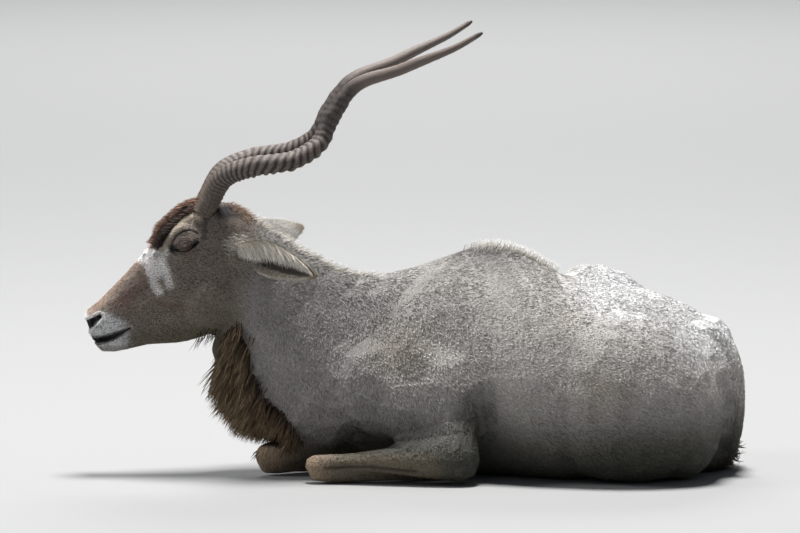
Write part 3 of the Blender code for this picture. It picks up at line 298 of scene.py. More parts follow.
def trim_throat(points):
    """Brings the throat's locks down to the plain neck under them."""
    rows = np.array(NECK_AXIS)
    axis = np.column_stack((rows[:, 0], np.zeros(len(rows)), rows[:, 1]))
    flat = points * (1, 0, 1)
    best = np.full(len(points), 1e9)
    middle, half = np.zeros((len(points), 3)), np.ones((len(points), 2))
    for k in range(len(rows) - 1):
        step = axis[k + 1] - axis[k]
        t = np.clip((flat - axis[k]) @ step / (step @ step), 0, 1)[:, None]
        foot = axis[k] + t * step
        away = np.linalg.norm(flat - foot, axis=1)
        nearer = away < best
        best[nearer] = away[nearer]
        middle[nearer] = foot[nearer]
        half[nearer] = (rows[k, 2:] + t * (rows[k + 1, 2:] - rows[k, 2:]))[nearer]
    deep, wide = best / half[:, 0], np.abs(points[:, 1]) / half[:, 1]
    size = (deep ** NECK_POWER + wide ** NECK_POWER) ** (1 / NECK_POWER)
    front = (points[:, 0] - middle[:, 0]) * 0.8 + (points[:, 2] - middle[:, 2]) < 0.02
    share = mane_share(points) * front * (size > NECK_MARGIN)
    trimmed = middle + (points - middle) * (NECK_MARGIN / np.maximum(size, NECK_MARGIN))[:, None]
    return points + (trimmed - points) * share[:, None]


def trim_forelock(points):
    """Brings the forelock's locks down to the forehead."""
    local = to_head(points)
    line = np.array(BROW_LINE)
    height = np.interp(local[:, 0], line[:, 0], line[:, 1])
    height = height + 0.002 - 5.0 * local[:, 1] ** 2
    over = np.maximum(local[:, 2] - height, 0) * forelock_share(points)
    up = np.array((-0.6, 0, 0.8))
    return points - (over * 0.85)[:, None] * up


def trim_brush(points):
    """Draws the tail's brush in to the thin tail inside it."""
    share = brush_share(points)
    offset = (points - np.array(BRUSH_MIDDLE)) * (1, 0, 1)
    size = np.maximum(np.linalg.norm(offset, axis=1), 1e-6)
    wanted = np.minimum(size, BRUSH_CORE)
    return points - offset * (share * (1 - wanted / size))[:, None]


TRIMS = {"neck": trim_throat, "head": trim_forelock, "tail": trim_brush}


def flesh_copy(node):
    """A closed copy of one solid of the flesh, a little grown, its locks trimmed to the core under them."""
    copy = merged_copy(node, "hide_" + node)
    modify(copy, "DISPLACE", strength=CLOSE_GAPS, mid_level=0.0)
    if node in TRIMS:
        write_points(copy, TRIMS[node](read_points(copy)))
    return copy


def joined(pieces, name):
    """Several objects as one."""
    bpy.ops.object.select_all(action="DESELECT")
    for piece in pieces:
        piece.select_set(True)
    bpy.context.view_layer.objects.active = pieces[0]
    bpy.ops.object.join()
    whole = bpy.context.view_layer.objects.active
    whole.name = name
    return whole


def soften(points, edges, weight, strokes):
    """Evens a surface, more where its weight is higher."""
    a, b = edges.T
    count = len(points)
    links = np.maximum(np.bincount(a, minlength=count) + np.bincount(b, minlength=count), 1)
    for _ in range(strokes):
        for axis in range(3):
            total = np.bincount(a, points[b, axis], count) + np.bincount(b, points[a, axis], count)
            points[:, axis] += (total / links - points[:, axis]) * weight
    return points


def thin_out(obj, faces, share):
    """Fewer triangles, with less taken where the share is lower."""
    group = obj.vertex_groups.new(name="thin")
    for level in np.unique(np.round(share, 1)):
        chosen = np.flatnonzero(np.round(share, 1) == level)
        group.add(chosen.tolist(), float(level), "REPLACE")
    triangles = sum(len(p.vertices) - 2 for p in obj.data.polygons)
    modify(obj, "DECIMATE", ratio=faces / triangles, vertex_group="thin", vertex_group_factor=1.0,
           use_collapse_triangulate=True)
    obj.vertex_groups.clear()


def refine(obj, region):
    """Divides the hide's triangles within reach of some places on the head, and evens what was divided."""
    faces = read(obj.data.polygons, "vertices", 3, int)
    middles = to_head(read_points(obj))[faces].mean(1)
    near = np.zeros(len(faces), bool)
    for place, reach in region:
        near |= np.linalg.norm(middles - np.array(place), axis=1) < reach
    pick(obj)
    bpy.context.tool_settings.mesh_select_mode = (False, False, True)
    bpy.ops.object.mode_set(mode="EDIT")
    bpy.ops.mesh.select_all(action="DESELECT")
    bpy.ops.object.mode_set(mode="OBJECT")
    obj.data.polygons.foreach_set("select", near)
    bpy.ops.object.mode_set(mode="EDIT")
    bpy.ops.mesh.subdivide(number_cuts=1)
    bpy.ops.mesh.select_all(action="SELECT")
    bpy.ops.mesh.quads_convert_to_tris()
    bpy.ops.object.mode_set(mode="OBJECT")
    points = read_points(obj)
    local = to_head(points)
    share = np.zeros(len(points))
    for place, reach in region:
        share = np.maximum(share, ease((reach - np.linalg.norm(local - np.array(place), axis=1)) / 0.01))
    write_points(obj, soften(points, read(obj.data.edges, "vertices", 2, int), 0.5 * share, 3))


def hide():
    """One skin over all the flesh, lying inside the solids by the depth of the coat."""
    parts = [flesh_copy(node) for node in FLESH + ("eye_left", "eye_right")]
    whole = joined(parts, "hide")
    modify(whole, "REMESH", mode="VOXEL", voxel_size=HIDE_GRID)
    points = read_points(whole)
    edges = read(whole.data.edges, "vertices", 2, int)
    face, legs = face_share(points), leg_share(points)
    locks_over = np.maximum(mane_share(points), forelock_share(points))
    locks_over = np.maximum(locks_over, brush_share(points) * 0.3)
    body = (1 - face) * (1 - legs)
    points = soften(points, edges, 0.5 * np.clip(0.25 + body * 0.75, 0, 1), LIGHT_STROKES)
    points = soften(points, edges, 0.5 * np.clip(body * 0.9 + locks_over, 0, 1), FULL_STROKES)
    write_points(whole, points)
    normals = read(whole.data.vertices, "normal", 3)
    depth = BODY_DEPTH * body + FACE_DEPTH * face + LEG_DEPTH * legs
    write_points(whole, points - normals * depth[:, None])
    thin_out(whole, HIDE_FACES, np.clip(1 - 0.9 * face - 0.3 * legs, 0.1, 1))
    refine(whole, LIDS_REGION)
    refine(whole, HEAD_REGION)
    sculpt(whole)
    return whole


# The head's fine forms, on the straight head, drawn in x and z and laid on both sides

EYE_TILT = math.radians(18)
EYE_REACH = 0.040            # of everything that is shaped round the eye
LID_HEIGHT = 0.0018          # of the lid's skin over the eyeball
LID_FOLDS = 0.0042           # spacing of the fine folds on the upper lid
SLIT_DEPTH = 0.0055          # the most that the slit between the lids goes in
BROW_CREASE = ((-0.024, 0.012), (-0.012, 0.023), (0.004, 0.0285), (0.018, 0.0255), (0.031, 0.014))
MOUTH_LINE = (
    (-0.650, 0.270), (-0.6447, 0.2720), (-0.6280, 0.2745), (-0.6108, 0.2795), (-0.590, 0.2885),
    (-0.571, 0.2985),
)
NOSTRIL_LINE = ((-0.6560, 0.3040), (-0.6480, 0.3100), (-0.6395, 0.3165), (-0.6315, 0.3225))
CHEEK_RIDGE = ((-0.545, 0.345), (-0.500, 0.372), (-0.455, 0.392))
CHEEK_HOLLOW = ((-0.540, 0.322), (-0.500, 0.345), (-0.455, 0.350))
BODY_FOLDS = (           # path in x and z, half width, depth, and whether it is on the left side alone
    (((0.070, 0.345), (0.022, 0.255), (-0.026, 0.165)), 0.030, 0.0040, False),
    (((0.120, 0.20), (0.124, 0.10), (0.126, 0.02)), 0.016, 0.0050, False),
    (((0.490, 0.300), (0.570, 0.250), (0.606, 0.210), (0.614, 0.160), (0.606, 0.10), (0.575, 0.03)),
     0.014, 0.0045, True),
)


def beside_eye(local):
    """Places beside the eye: along the lids towards the back, and up across them."""
    across, up = local[:, 0] - EYE_CENTRE.x, local[:, 2] - EYE_CENTRE.z
    return (across * math.cos(EYE_TILT) + up * math.sin(EYE_TILT),
            up * math.cos(EYE_TILT) - across * math.sin(EYE_TILT))


def lid_line(along):
    """Where the closed lids meet, below the middle of the eye."""
    return -0.0085 * (1 - ((along + 0.001) / 0.0285) ** 2)


def flat_distance(across, up, path):
    """Distance to a path that is drawn from the side, with how far along it is."""
    path = [(x, 0, z) for x, z in path]
    return line_distance(np.column_stack((across, np.zeros(len(across)), up)), path)


class OnHead:
    """Places as they are on the straight head, and beside its closed eye."""

    def __init__(self, points):
        self.local = to_head(points)
        self.x, self.z = self.local[:, 0], self.local[:, 2]
        self.side = np.abs(self.local[:, 1])
        self.face = face_share(points)
        self.along, self.across = beside_eye(self.local)
        self.gap = self.across - lid_line(self.along)

    def distance(self, path):
        """Distance to a path on the side of the head, with how far along it is."""
        return flat_distance(self.x, self.z, path)


def shape_eye(move, head, sideways):
    """Moves the skin to a dome over the eyeball, with folded lids, the slit between them, and the brow."""
    along, across, gap = head.along, head.across, head.gap
    near_eye = sideways * ease((EYE_REACH - np.hypot(along, across)) / 0.012)
    ends = ease((0.0275 - np.abs(along)) / 0.008)
    rise = np.hypot(along + 0.001, across + 0.001)
    reach = np.linalg.norm(folded(head.local) * (1, -1, 1) - np.array(EYE_CENTRE), axis=1)
    dome = near_eye * ease((0.0200 - rise) / 0.004)
    move += dome * np.maximum(EYE_RADIUS + LID_HEIGHT - reach, 0)
    upper = ease((gap - 0.002) / 0.003) * ease((0.021 - rise) / 0.004)
    fold = np.sin(2 * math.pi * (rise + 0.0012 * np.sin(along * 420)) / LID_FOLDS)
    move += near_eye * upper * (0.0009 + 0.00042 * fold)
    crease, _ = flat_distance(along, across, BROW_CREASE)
    move -= near_eye * 0.0024 * ease((0.0034 - crease) / 0.0032)
    brow = ease((0.011 - np.abs(rise - 0.035)) / 0.010) * ease((across + 0.006) / 0.02)
    move += sideways * 0.0022 * brow * ease((0.048 - rise) / 0.01)
    hollow = np.hypot((along + 0.0265) / 0.0075, (across - 0.001) / 0.0085)
    move -= near_eye * 0.0030 * ease(1.15 - hollow)
    move -= near_eye * 0.0010 * ease((0.0026 - np.abs(gap + 0.0072)) / 0.0024) * ends
    move += near_eye * 0.0008 * ease((0.0022 - np.abs(gap + 0.0036)) / 0.0020) * ends
    opening = ease((0.0024 * ends - np.abs(gap)) / 0.0012 + 0.5) * ends
    deep = np.minimum(EYE_RADIUS - 0.0012 - reach - move, 0)
    move += near_eye * opening * np.maximum(deep, -SLIT_DEPTH)


def shape_muzzle(move, head):
    """Moves the skin in at the mouth and the nostrils, with a soft lip round each."""
    mouth, far = head.distance(MOUTH_LINE)
    lips = head.face * ease((-0.562 - head.x) / 0.006)
    thick = 0.0064 - 0.0042 * far
    move -= lips * (0.0065 - 0.0035 * far) * ease((thick - mouth) / 0.0030 + 0.4)
    move += lips * 0.0012 * ease((0.0045 - np.abs(mouth - 0.0085)) / 0.0045)
    nostril, far = head.distance(NOSTRIL_LINE)
    wide = 0.0098 - 0.0058 * far
    beside = head.face * ease((head.side - 0.008) / 0.006)
    move -= beside * 0.0075 * ease((wide - nostril) / 0.0030 + 0.4)
    move += beside * 0.0016 * ease((0.0035 - np.abs(nostril - wide - 0.0042)) / 0.0035)


def shape_cheeks(move, head, sideways):
    """Moves the skin out along the cheek's ridge and in below it."""
    ridge, _ = head.distance(CHEEK_RIDGE)
    move += sideways * 0.0022 * ease((0.014 - ridge) / 0.014)
    hollow, _ = head.distance(CHEEK_HOLLOW)
    move -= sideways * 0.0020 * ease((0.016 - hollow) / 0.016)


def body_folds(points, normals):
    """Hollows of the body: behind the shoulder's blade, at the armpit, and the fold round the haunch."""
    move = np.zeros(len(points))
    outer = ease(np.abs(normals[:, 1]) / 0.3 - 0.3)
    left = ease(-normals[:, 1] / 0.3 - 0.3) * (points[:, 1] < -0.05)
    for path, width, depth, left_alone in BODY_FOLDS:
        away, far = flat_distance(points[:, 0], points[:, 2], path)
        share = left if left_alone else outer
        move -= share * depth * ease((width - away) / width) * ease(np.minimum(far, 1 - far) / 0.15 + 0.2)
    return move


def sculpt(obj):
    """The head's fine forms and the body's folds, moved out or in along the surface."""
    points = read_points(obj)
    normals = read(obj.data.vertices, "normal", 3)
    head = OnHead(points)
    sideways = head.face * ease((head.side - 0.022) / 0.012)
    move = np.zeros(len(points))
    shape_eye(move, head, sideways)
    shape_muzzle(move, head)
    shape_cheeks(move, head, sideways)
    move += body_folds(points, normals)
    write_points(obj, points + normals * move[:, None])


# Markings: the same colours for the hide and for every hair on it

PALE = (0.58, 0.548, 0.512)
WHITE = (0.93, 0.92, 0.91)
WARM = (0.46, 0.35, 0.26)
NECK_GREY = (0.33, 0.312, 0.295)
# painted shade on the withers
WITHERS_SHADE = (0.10, 0.097, 0.094)
# dark grey: painted shade on the low body, behind the elbow and under the haunch, and the colour of the fine
# dark speckles
SHADE_AND_SPECKLE_GREY = (0.070, 0.069, 0.052)
LEG = (0.24, 0.20, 0.14)
CARPUS = (0.66, 0.48, 0.33)
FACE_GREY = (0.31, 0.26, 0.215)
# grey of the jaw, also used as painted shade on the lower jaw behind the cheek
JAW_GREY_AND_SHADE = (0.20, 0.17, 0.12)
CHESTNUT = (0.175, 0.100, 0.070)
NOSE_BROWN = (0.25, 0.17, 0.14)
# tan of the nose's top, also the painted highlight along the nose's ridge
NOSE_TAN = (0.50, 0.36, 0.28)
FACE_WHITE = (0.98, 0.945, 0.91)
BROW_BEIGE = (0.54, 0.46, 0.36)
MUZZLE = (0.97, 0.965, 0.96)
LIP = (0.055, 0.045, 0.040)
BLACK = (0.010, 0.009, 0.008)
LID_BROWN = (0.235, 0.18, 0.15)
# dark grey skin behind the horns, at the temple and beside the slit, also painted shade in the lid's
# wrinkles and the brow's crease
DARK_SKIN_AND_CREASE_SHADE = (0.060, 0.052, 0.050)
# dark brown of the throat mane, also used as painted shade in the leg's crease
MANE_BROWN_AND_CREASE_SHADE = (0.050, 0.032, 0.020)
MANE_TIP = (0.20, 0.145, 0.085)
MANE_GOLD = (0.38, 0.28, 0.18)
# painted shade on the hair tips along the forelock's lower edge
LOCK_EDGE_SHADE = (0.035, 0.02, 0.015)
POLL_RED = (0.30, 0.175, 0.11)

WHITE_BRIDGE = ((-0.550, 0.438), (-0.522, 0.453), (-0.505, 0.454))
WHITE_MIDDLE = ((-0.532, 0.436), (-0.522, 0.412))
WHITE_FRONT = ((-0.531, 0.412), (-0.524, 0.390), (-0.515, 0.374))
WHITE_BACK = ((-0.510, 0.436), (-0.500, 0.412), (-0.494, 0.388))
BROW_BAND = ((-0.509, 0.460), (-0.500, 0.484), (-0.486, 0.504), (-0.461, 0.518), (-0.437, 0.523))
# the crease above the folded foreleg, where painted shade is laid
LEG_CREASE_SHADE = ((-0.178, 0.034), (-0.090, 0.037), (0.000, 0.031))
CHEEK_STREAK = ((-0.520, 0.352), (-0.490, 0.342), (-0.462, 0.338))
TEMPLE_LINE = ((-0.421, 0.520), (-0.425, 0.484))
BROWN_PATCH = ((-0.595, 0.345), (-0.560, 0.375), (-0.532, 0.405))
NOSE_TOP = ((-0.652, 0.334), (-0.628, 0.352))
# the nose's ridge, where a tan band of painted highlight is laid
NOSE_RIDGE_HIGHLIGHT = ((-0.648, 0.338), (-0.609, 0.378), (-0.570, 0.421), (-0.545, 0.446))
UNDER_LOCK = ((-0.512, 0.466), (-0.502, 0.484), (-0.487, 0.507), (-0.463, 0.529), (-0.435, 0.545))
WARM_PATCHES = (         # place on either side, reach and share
    ((-0.03, 0.20, 0.27), (0.10, 0.2, 0.09), 0.45),
    ((0.31, 0.26, 0.34), (0.10, 0.2, 0.06), 0.55),
    ((0.36, 0.30, 0.20), (0.10, 0.2, 0.08), 0.5),
)
# painted shade in the folds of the upper lid
LID_WRINKLE_SHADES = ((0.0065, 0.55), (0.0120, 0.65), (0.0175, 0.5))       # height over the slit, and share
SPECKLE_MIX, SPECKLE_GAIN = (12.9898, 78.233, 37.719), 43758.5453    # make a number at random from a place


def speckles(places, size, share):
    """1 in small scattered dots, 0 between them."""
    cells = np.floor(places / size)
    chance = np.sin(cells @ np.array(SPECKLE_MIX)) * SPECKLE_GAIN
    return (chance - np.floor(chance) < share).astype(float)


class Markings:
    """The coat's colours at some places, laid one over another."""

    def __init__(self, points):
        self.points = points
        self.head = OnHead(points)
        self.colours = np.tile(np.array(PALE), (len(points), 1))

    def lay(self, colour, share):
        """Lays a colour over the ones below it, by its share at each place."""
        self.colours = mixed(self.colours, colour, np.clip(share, 0, 1))

    def near(self, path, width, soft):
        """1 within a width of a path on the side of the head, fading over a soft edge."""
        away, _ = self.head.distance(path)
        return ease((width - away) / soft + 0.5)


def mark_body(marks):
    """Grey neck, white loin and rump, warm patches and fine dark speckles, with painted shade on the
    withers, the low body, behind the elbow and under the haunch, and painted light on the top of the loin.
    """
    points = marks.points
    x, z = points[:, 0], points[:, 2]
    marks.lay(NECK_GREY, 0.8 * ease((0.12 - x) / 0.24))
    # painted shade: the lower body darker towards the floor
    marks.lay(SHADE_AND_SPECKLE_GREY, 0.96 * ease((0.20 - z) / 0.15) * ease((x + 0.20) / 0.12))
    # white on the top of the loin: partly the coat's pale colour, partly painted light on the top where the
    # light falls
    marks.lay(WHITE, ease((z - 0.28) / 0.10) * ease((x - 0.26) / 0.13))
    # painted shade: the withers darkened
    marks.lay(WITHERS_SHADE, 0.95 * spot(points, (0.14, 0.0, 0.47), (0.20, 0.3, 0.075)))
    marks.lay(WHITE, 0.9 * ease((x - 0.47) / 0.10) * ease((z - 0.20) / 0.10))
    for centre, reach, share in WARM_PATCHES:
        marks.lay(WARM, share * spot(folded(points), centre, reach))
    # painted shade in the hollow behind the elbow
    marks.lay(SHADE_AND_SPECKLE_GREY, 0.8 * ease((0.055 - np.abs(x - 0.118)) / 0.03) * ease((0.24 - z) / 0.12))
    # painted shade under the overhanging haunch
    marks.lay(SHADE_AND_SPECKLE_GREY, 0.85 * ease((x - 0.30) / 0.12) * ease((0.15 - z) / 0.11) * ease((0.60 - x) / 0.06))
    marks.lay(WARM, 0.6 * spot(points, (0.36, 0.16, 0.43), (0.15, 0.09, 0.06)))
    marks.lay(SHADE_AND_SPECKLE_GREY, 0.32 * speckles(points, 0.0028, 0.22))


def mark_legs(marks):
    """Sandy legs, tan knees, and painted shade in the crease between the folded foreleg and the arm."""
    points = marks.points
    marks.lay(LEG, leg_share(points))
    knees = np.maximum(spot(points, (-0.205, -0.142, 0.035), (0.06, 0.07, 0.07)),
                       spot(points, (-0.30, -0.034, 0.045), (0.09, 0.10, 0.09)))
    marks.lay(CARPUS, 0.8 * knees)
    # painted shade in the crease between the folded foreleg and the arm
    crease, _ = flat_distance(points[:, 0], points[:, 2], LEG_CREASE_SHADE)
    marks.lay(MANE_BROWN_AND_CREASE_SHADE, 0.9 * ease((0.0055 - crease) / 0.005) * ease((-0.07 - points[:, 1]) / 0.02))


def mark_face(marks, sides):
    """Grey face and jaw with painted shade on the lower jaw, brown nose with a tan band of painted highlight
    along its ridge, pale muzzle, and the white patch before the eye.
    """
    head = marks.head
    x, z, face = head.x, head.z, head.face
    marks.lay(FACE_GREY, face)
    marks.lay(JAW_GREY_AND_SHADE, face * ease((0.325 - z + 0.25 * (x + 0.50)) / 0.05) * ease((x + 0.60) / 0.05))
    # painted highlight: tan along the top of the nose where light from above catches it
    marks.lay(NOSE_TAN, face * marks.near(NOSE_RIDGE_HIGHLIGHT, 0.010, 0.016))
    marks.lay(NOSE_BROWN, 0.9 * sides * marks.near(BROWN_PATCH, 0.017, 0.026))
    # painted shade on the lower jaw behind the cheek
    marks.lay(JAW_GREY_AND_SHADE, 0.8 * sides * spot(folded(head.local), (-0.430, 0.05, 0.332), (0.05, 0.1, 0.03)))
    marks.lay(MUZZLE, face * ease((-0.563 - x) / 0.032) * ease((0.338 - z - 0.35 * (x + 0.62)) / 0.022))
    marks.lay(JAW_GREY_AND_SHADE, 0.6 * face * ease((0.268 - z) / 0.012) * ease((-0.55 - x) / 0.03))
    marks.lay(NOSE_TAN, 0.9 * face * marks.near(NOSE_TOP, 0.011, 0.010))
    marks.lay(LIP, 0.5 * face * speckles(head.local, 0.0026, 0.15))
    ragged = 0.0045 * np.sin(x * 2100 + z * 700) * np.sin(z * 1900 - x * 800)
    marks.lay(FACE_WHITE, face * marks.near(WHITE_BRIDGE, 0.0105 + ragged, 0.010))
    marks.lay(FACE_WHITE, sides * marks.near(WHITE_MIDDLE, 0.0135 + ragged, 0.014))
    marks.lay(FACE_WHITE, sides * marks.near(WHITE_FRONT, 0.0080 + ragged, 0.010))
    marks.lay(FACE_WHITE, sides * marks.near(WHITE_BACK, 0.0080 - ragged, 0.011))
    marks.lay(NOSE_BROWN, 0.7 * sides * marks.near(CHEEK_STREAK, 0.0060, 0.012))
    marks.lay(BROW_BEIGE, sides * marks.near(BROW_BAND, 0.0075, 0.006))
    marks.lay(DARK_SKIN_AND_CREASE_SHADE, 0.6 * sides * marks.near(TEMPLE_LINE, 0.0050, 0.008))


def mark_eyes(marks):
    """Brown lids with painted shade in their wrinkles, a black slit and corner, and painted shade in the
    crease under the brow.
    """
    along, across, gap = marks.head.along, marks.head.across, marks.head.gap
    eye = marks.head.face * ease((marks.head.side - 0.03) / 0.01)
    marks.lay(LID_BROWN, eye * ease((0.026 - np.hypot(along, across)) / 0.008))
    beside_slit = ease((0.0090 - np.abs(gap - 0.001)) / 0.007) * ease((0.028 - np.abs(along)) / 0.008)
    marks.lay(DARK_SKIN_AND_CREASE_SHADE, 0.85 * eye * beside_slit)
    marks.lay(BLACK, eye * ease(1.45 - np.hypot((along + 0.0260) / 0.0085, across / 0.0105)))
    slit = ease((0.0034 - np.abs(gap)) / 0.0016 + 0.3) * ease((0.029 - np.abs(along)) / 0.004)
    marks.lay(BLACK, eye * slit)
    # painted shade in the folds of the upper lid
    for rise, share in LID_WRINKLE_SHADES:
        fold = gap - rise * (1.15 - (along / 0.027) ** 2)
        wrinkle_shade = ease((0.0013 - np.abs(fold)) / 0.0012 + 0.3) * ease((0.026 - np.abs(along)) / 0.006)
        marks.lay(DARK_SKIN_AND_CREASE_SHADE, share * eye * wrinkle_shade)
    # painted shade in the crease under the brow
    crease, _ = flat_distance(along, across, BROW_CREASE)
    marks.lay(DARK_SKIN_AND_CREASE_SHADE, 0.9 * eye * ease((0.0036 - crease) / 0.0028))


def mark_muzzle(marks):
    """Black painted shade in the nostrils, and a black line of painted shade at the mouth between dark lips.
    """
    head = marks.head
    nostril, far = head.distance(NOSTRIL_LINE)
    # painted shade: black inside the nostrils
    inside = ease((head.side - 0.0025) / 0.003) * ease((0.0104 - 0.0058 * far - nostril) / 0.0018 + 0.5)
    marks.lay(BLACK, head.face * inside)
    mouth, far = head.distance(MOUTH_LINE)
    lips = ease((-0.570 - head.x) / 0.02) * ease((0.0125 - 0.006 * far - mouth) / 0.004 + 0.3)
    marks.lay(LIP, 0.8 * head.face * lips)
    # painted shade: a black line where the lips meet
    line = ease((-0.566 - head.x) / 0.006) * ease((0.0068 - 0.0045 * far - mouth) / 0.0020 + 0.5)
    marks.lay(BLACK, head.face * line)


def mark_under_locks(marks, sides):
    """Dark behind the horns, a black band of painted shadow under the forelock's lower edge, chestnut under
    the forelock, brown under the mane, and red on the poll.
    """
    head, points = marks.head, marks.points
    behind_horn = spot(folded(head.local), (-0.378, 0.030, 0.532), (0.052, 0.05, 0.022))
    marks.lay(DARK_SKIN_AND_CREASE_SHADE, 1.5 * head.face * behind_horn)
    # painted shadow: a black band under the forelock's lower edge
    marks.lay(BLACK, 0.92 * sides * marks.near(UNDER_LOCK, 0.0050, 0.004))
    lock_edge = np.interp(head.x, *np.array(UNDER_LOCK).T)
    marks.lay(CHESTNUT, forelock_share(points) * ease((head.z - lock_edge + 0.001) / 0.004))
    throat = mane_share(points) * (1 - head.face) * (1 - leg_share(points))
    throat *= ease((0.34 - points[:, 2]) / 0.05)
    marks.lay(MANE_BROWN_AND_CREASE_SHADE, ease(throat * 1.7 - 0.65) * before_mane_edge(points))
    marks.lay(POLL_RED, 0.7 * spot(head.local, (-0.335, 0, 0.525), (0.05, 0.05, 0.04)))


def markings(points):
    """The coat's colour at each place."""
    marks = Markings(points)
    sides = marks.head.face * ease((marks.head.side - 0.012) / 0.012)
    mark_body(marks)
    mark_legs(marks)
    mark_face(marks, sides)
    mark_eyes(marks)
    mark_muzzle(marks)
    mark_under_locks(marks, sides)
    return np.clip(marks.colours, 0.004, 1)


# The coat: short closed tufts that lie along the body

LIE = (        # place, direction, reach; the places are on the left side and mirrored to the right
    ((-0.62, 0.02, 0.33), (0.75, 0.1, 0.60), 0.06),
    ((-0.50, 0.06, 0.38), (1.0, 0.1, 0.10), 0.07),
    ((-0.42, 0.05, 0.33), (1.0, 0.0, -0.20), 0.06),
    ((-0.40, 0.05, 0.48), (1.0, 0.1, -0.10), 0.06),
    ((-0.25, 0.05, 0.45), (1.0, 0.0, -0.35), 0.09),
    ((-0.22, 0.12, 0.30), (0.6, 0.1, -1.0), 0.11),
    ((-0.32, 0.00, 0.20), (0.0, 0.0, -1.0), 0.08),
    ((-0.22, 0.10, 0.13), (0.15, 0.0, -1.0), 0.08),
    ((0.10, 0.05, 0.44), (1.0, 0.0, 0.05), 0.10),
    ((0.00, 0.20, 0.30), (0.5, 0.0, -1.0), 0.12),
    ((0.05, 0.24, 0.12), (0.6, 0.0, -1.0), 0.10),
    ((0.25, 0.24, 0.25), (1.0, 0.0, -0.45), 0.14),
    ((0.32, 0.00, 0.38), (1.0, 0.0, -0.15), 0.12),
    ((0.30, 0.28, 0.10), (1.0, 0.0, -0.30), 0.13),
    ((0.50, 0.22, 0.22), (0.8, 0.0, -0.70), 0.12),
    ((0.52, 0.20, 0.08), (0.9, 0.0, -0.50), 0.12),
    ((0.60, 0.00, 0.27), (0.6, 0.0, -1.0), 0.08),
    ((0.65, 0.00, 0.12), (0.1, 0.0, -1.0), 0.09),
    ((-0.08, 0.16, 0.06), (-1.0, 0.0, -0.10), 0.05),
    ((-0.20, 0.14, 0.035), (-0.3, 0.0, -1.0), 0.03),
)


def lie_at(points, normals):
    """The direction in which the hair lies at each place, along the surface."""
    total = np.zeros((len(points), 3))
    even = folded(points)
    for place, direction, reach in LIE:
        weight = np.exp(-((even - np.array(place)) ** 2).sum(1) / reach ** 2) + 1e-9
        total += weight[:, None] * np.array(direction) / np.linalg.norm(direction)
    total[:, 1] *= np.where(points[:, 1] < 0, -1.0, 1.0)
    total -= normals * (total * normals).sum(1)[:, None]
    return unit(total)


class Ground:
    """The hide's triangles, for setting hairs on it."""

    def __init__(self, obj):
        self.points = read_points(obj)
        self.normals = read(obj.data.vertices, "normal", 3)
        self.faces = read(obj.data.polygons, "vertices", 3, int)
        a, b, c = (self.points[self.faces[:, k]] for k in range(3))
        self.middles = (a + b + c) / 3
        self.areas = np.linalg.norm(np.cross(b - a, c - a), axis=1) / 2
        self.facing = self.normals[self.faces].mean(1)
        layer = obj.data.uv_layers.active
        self.uvs = read(layer.data, "uv", 2).reshape(-1, 3, 2)

    def scatter(self, density):
        """Random places on the surface, so many for each square metre as density gives for each triangle."""
        wanted = np.cumsum(self.areas * density)
        count = int(wanted[-1])
        chosen = np.searchsorted(wanted, (np.arange(count) + draw.random(count)) * wanted[-1] / count)
        chosen = np.clip(chosen, 0, len(self.faces) - 1)
        u, v = draw.random(count), draw.random(count)
        over = u + v > 1
        u[over], v[over] = 1 - u[over], 1 - v[over]
        shares = np.column_stack((1 - u - v, u, v))[:, :, None]
        places = (self.points[self.faces[chosen]] * shares).sum(1)
        normals = unit((self.normals[self.faces[chosen]] * shares).sum(1))
        spots = (self.uvs[chosen] * shares).sum(1)
        return places, normals, spots


TUFT_FACES = np.array(((0, 2, 1), (0, 1, 3), (1, 2, 3), (2, 0, 3)))      # two roots, back and tip
TUFT_PATCH = ((-0.5, -0.5), (0.5, -0.5), (0.0, 0.0), (0.0, 0.5))         # the same four on the UV map
PATCH = 0.003                # size of a hair on the UV map
ROOT_SHADE = 0.76            # how much darker a tuft is at its root
TOP_SHADE = 0.90             # the same where its back begins
TUFT_SINK, TUFT_BACK = 0.20, 0.32        # depth of the root and height of the back over it, in widths
FLOOR_SPREAD = 0.0004        # tufts at the floor end at any height up to this
BODY_HAIRS = 138000          # tufts for each square metre of the body
FINE_HAIRS = 300000          # the same on the head and feet
BODY_LENGTH, FINE_LENGTH = 0.0078, 0.0048
BODY_WIDTH, FINE_WIDTH = 0.0015, 0.0011
COAT_REGIONS = (         # regions behind the head, and the x where each ends
    ("coat_neck", -0.12), ("coat_breast", -0.01), ("coat_shoulder", 0.10), ("coat_ribs", 0.24),
    ("coat_loin", 0.38), ("coat_haunch", 0.51), ("coat_rump", 2.0),
)


def finish_hair(made, colours, corners, faces):
    """Gives a piece of the coat its colours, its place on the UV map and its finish."""
    paint(made, np.clip(colours.reshape(-1, 3), 0, 1))
    corners = np.clip(corners, 0, 1).astype(np.float32)
    layer = made.data.uv_layers.new(name="OFBake")
    layer.data.foreach_set("uv", corners[:, faces].reshape(-1, 2).ravel())
    made.data.materials.append(COAT)
    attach(made, "root")


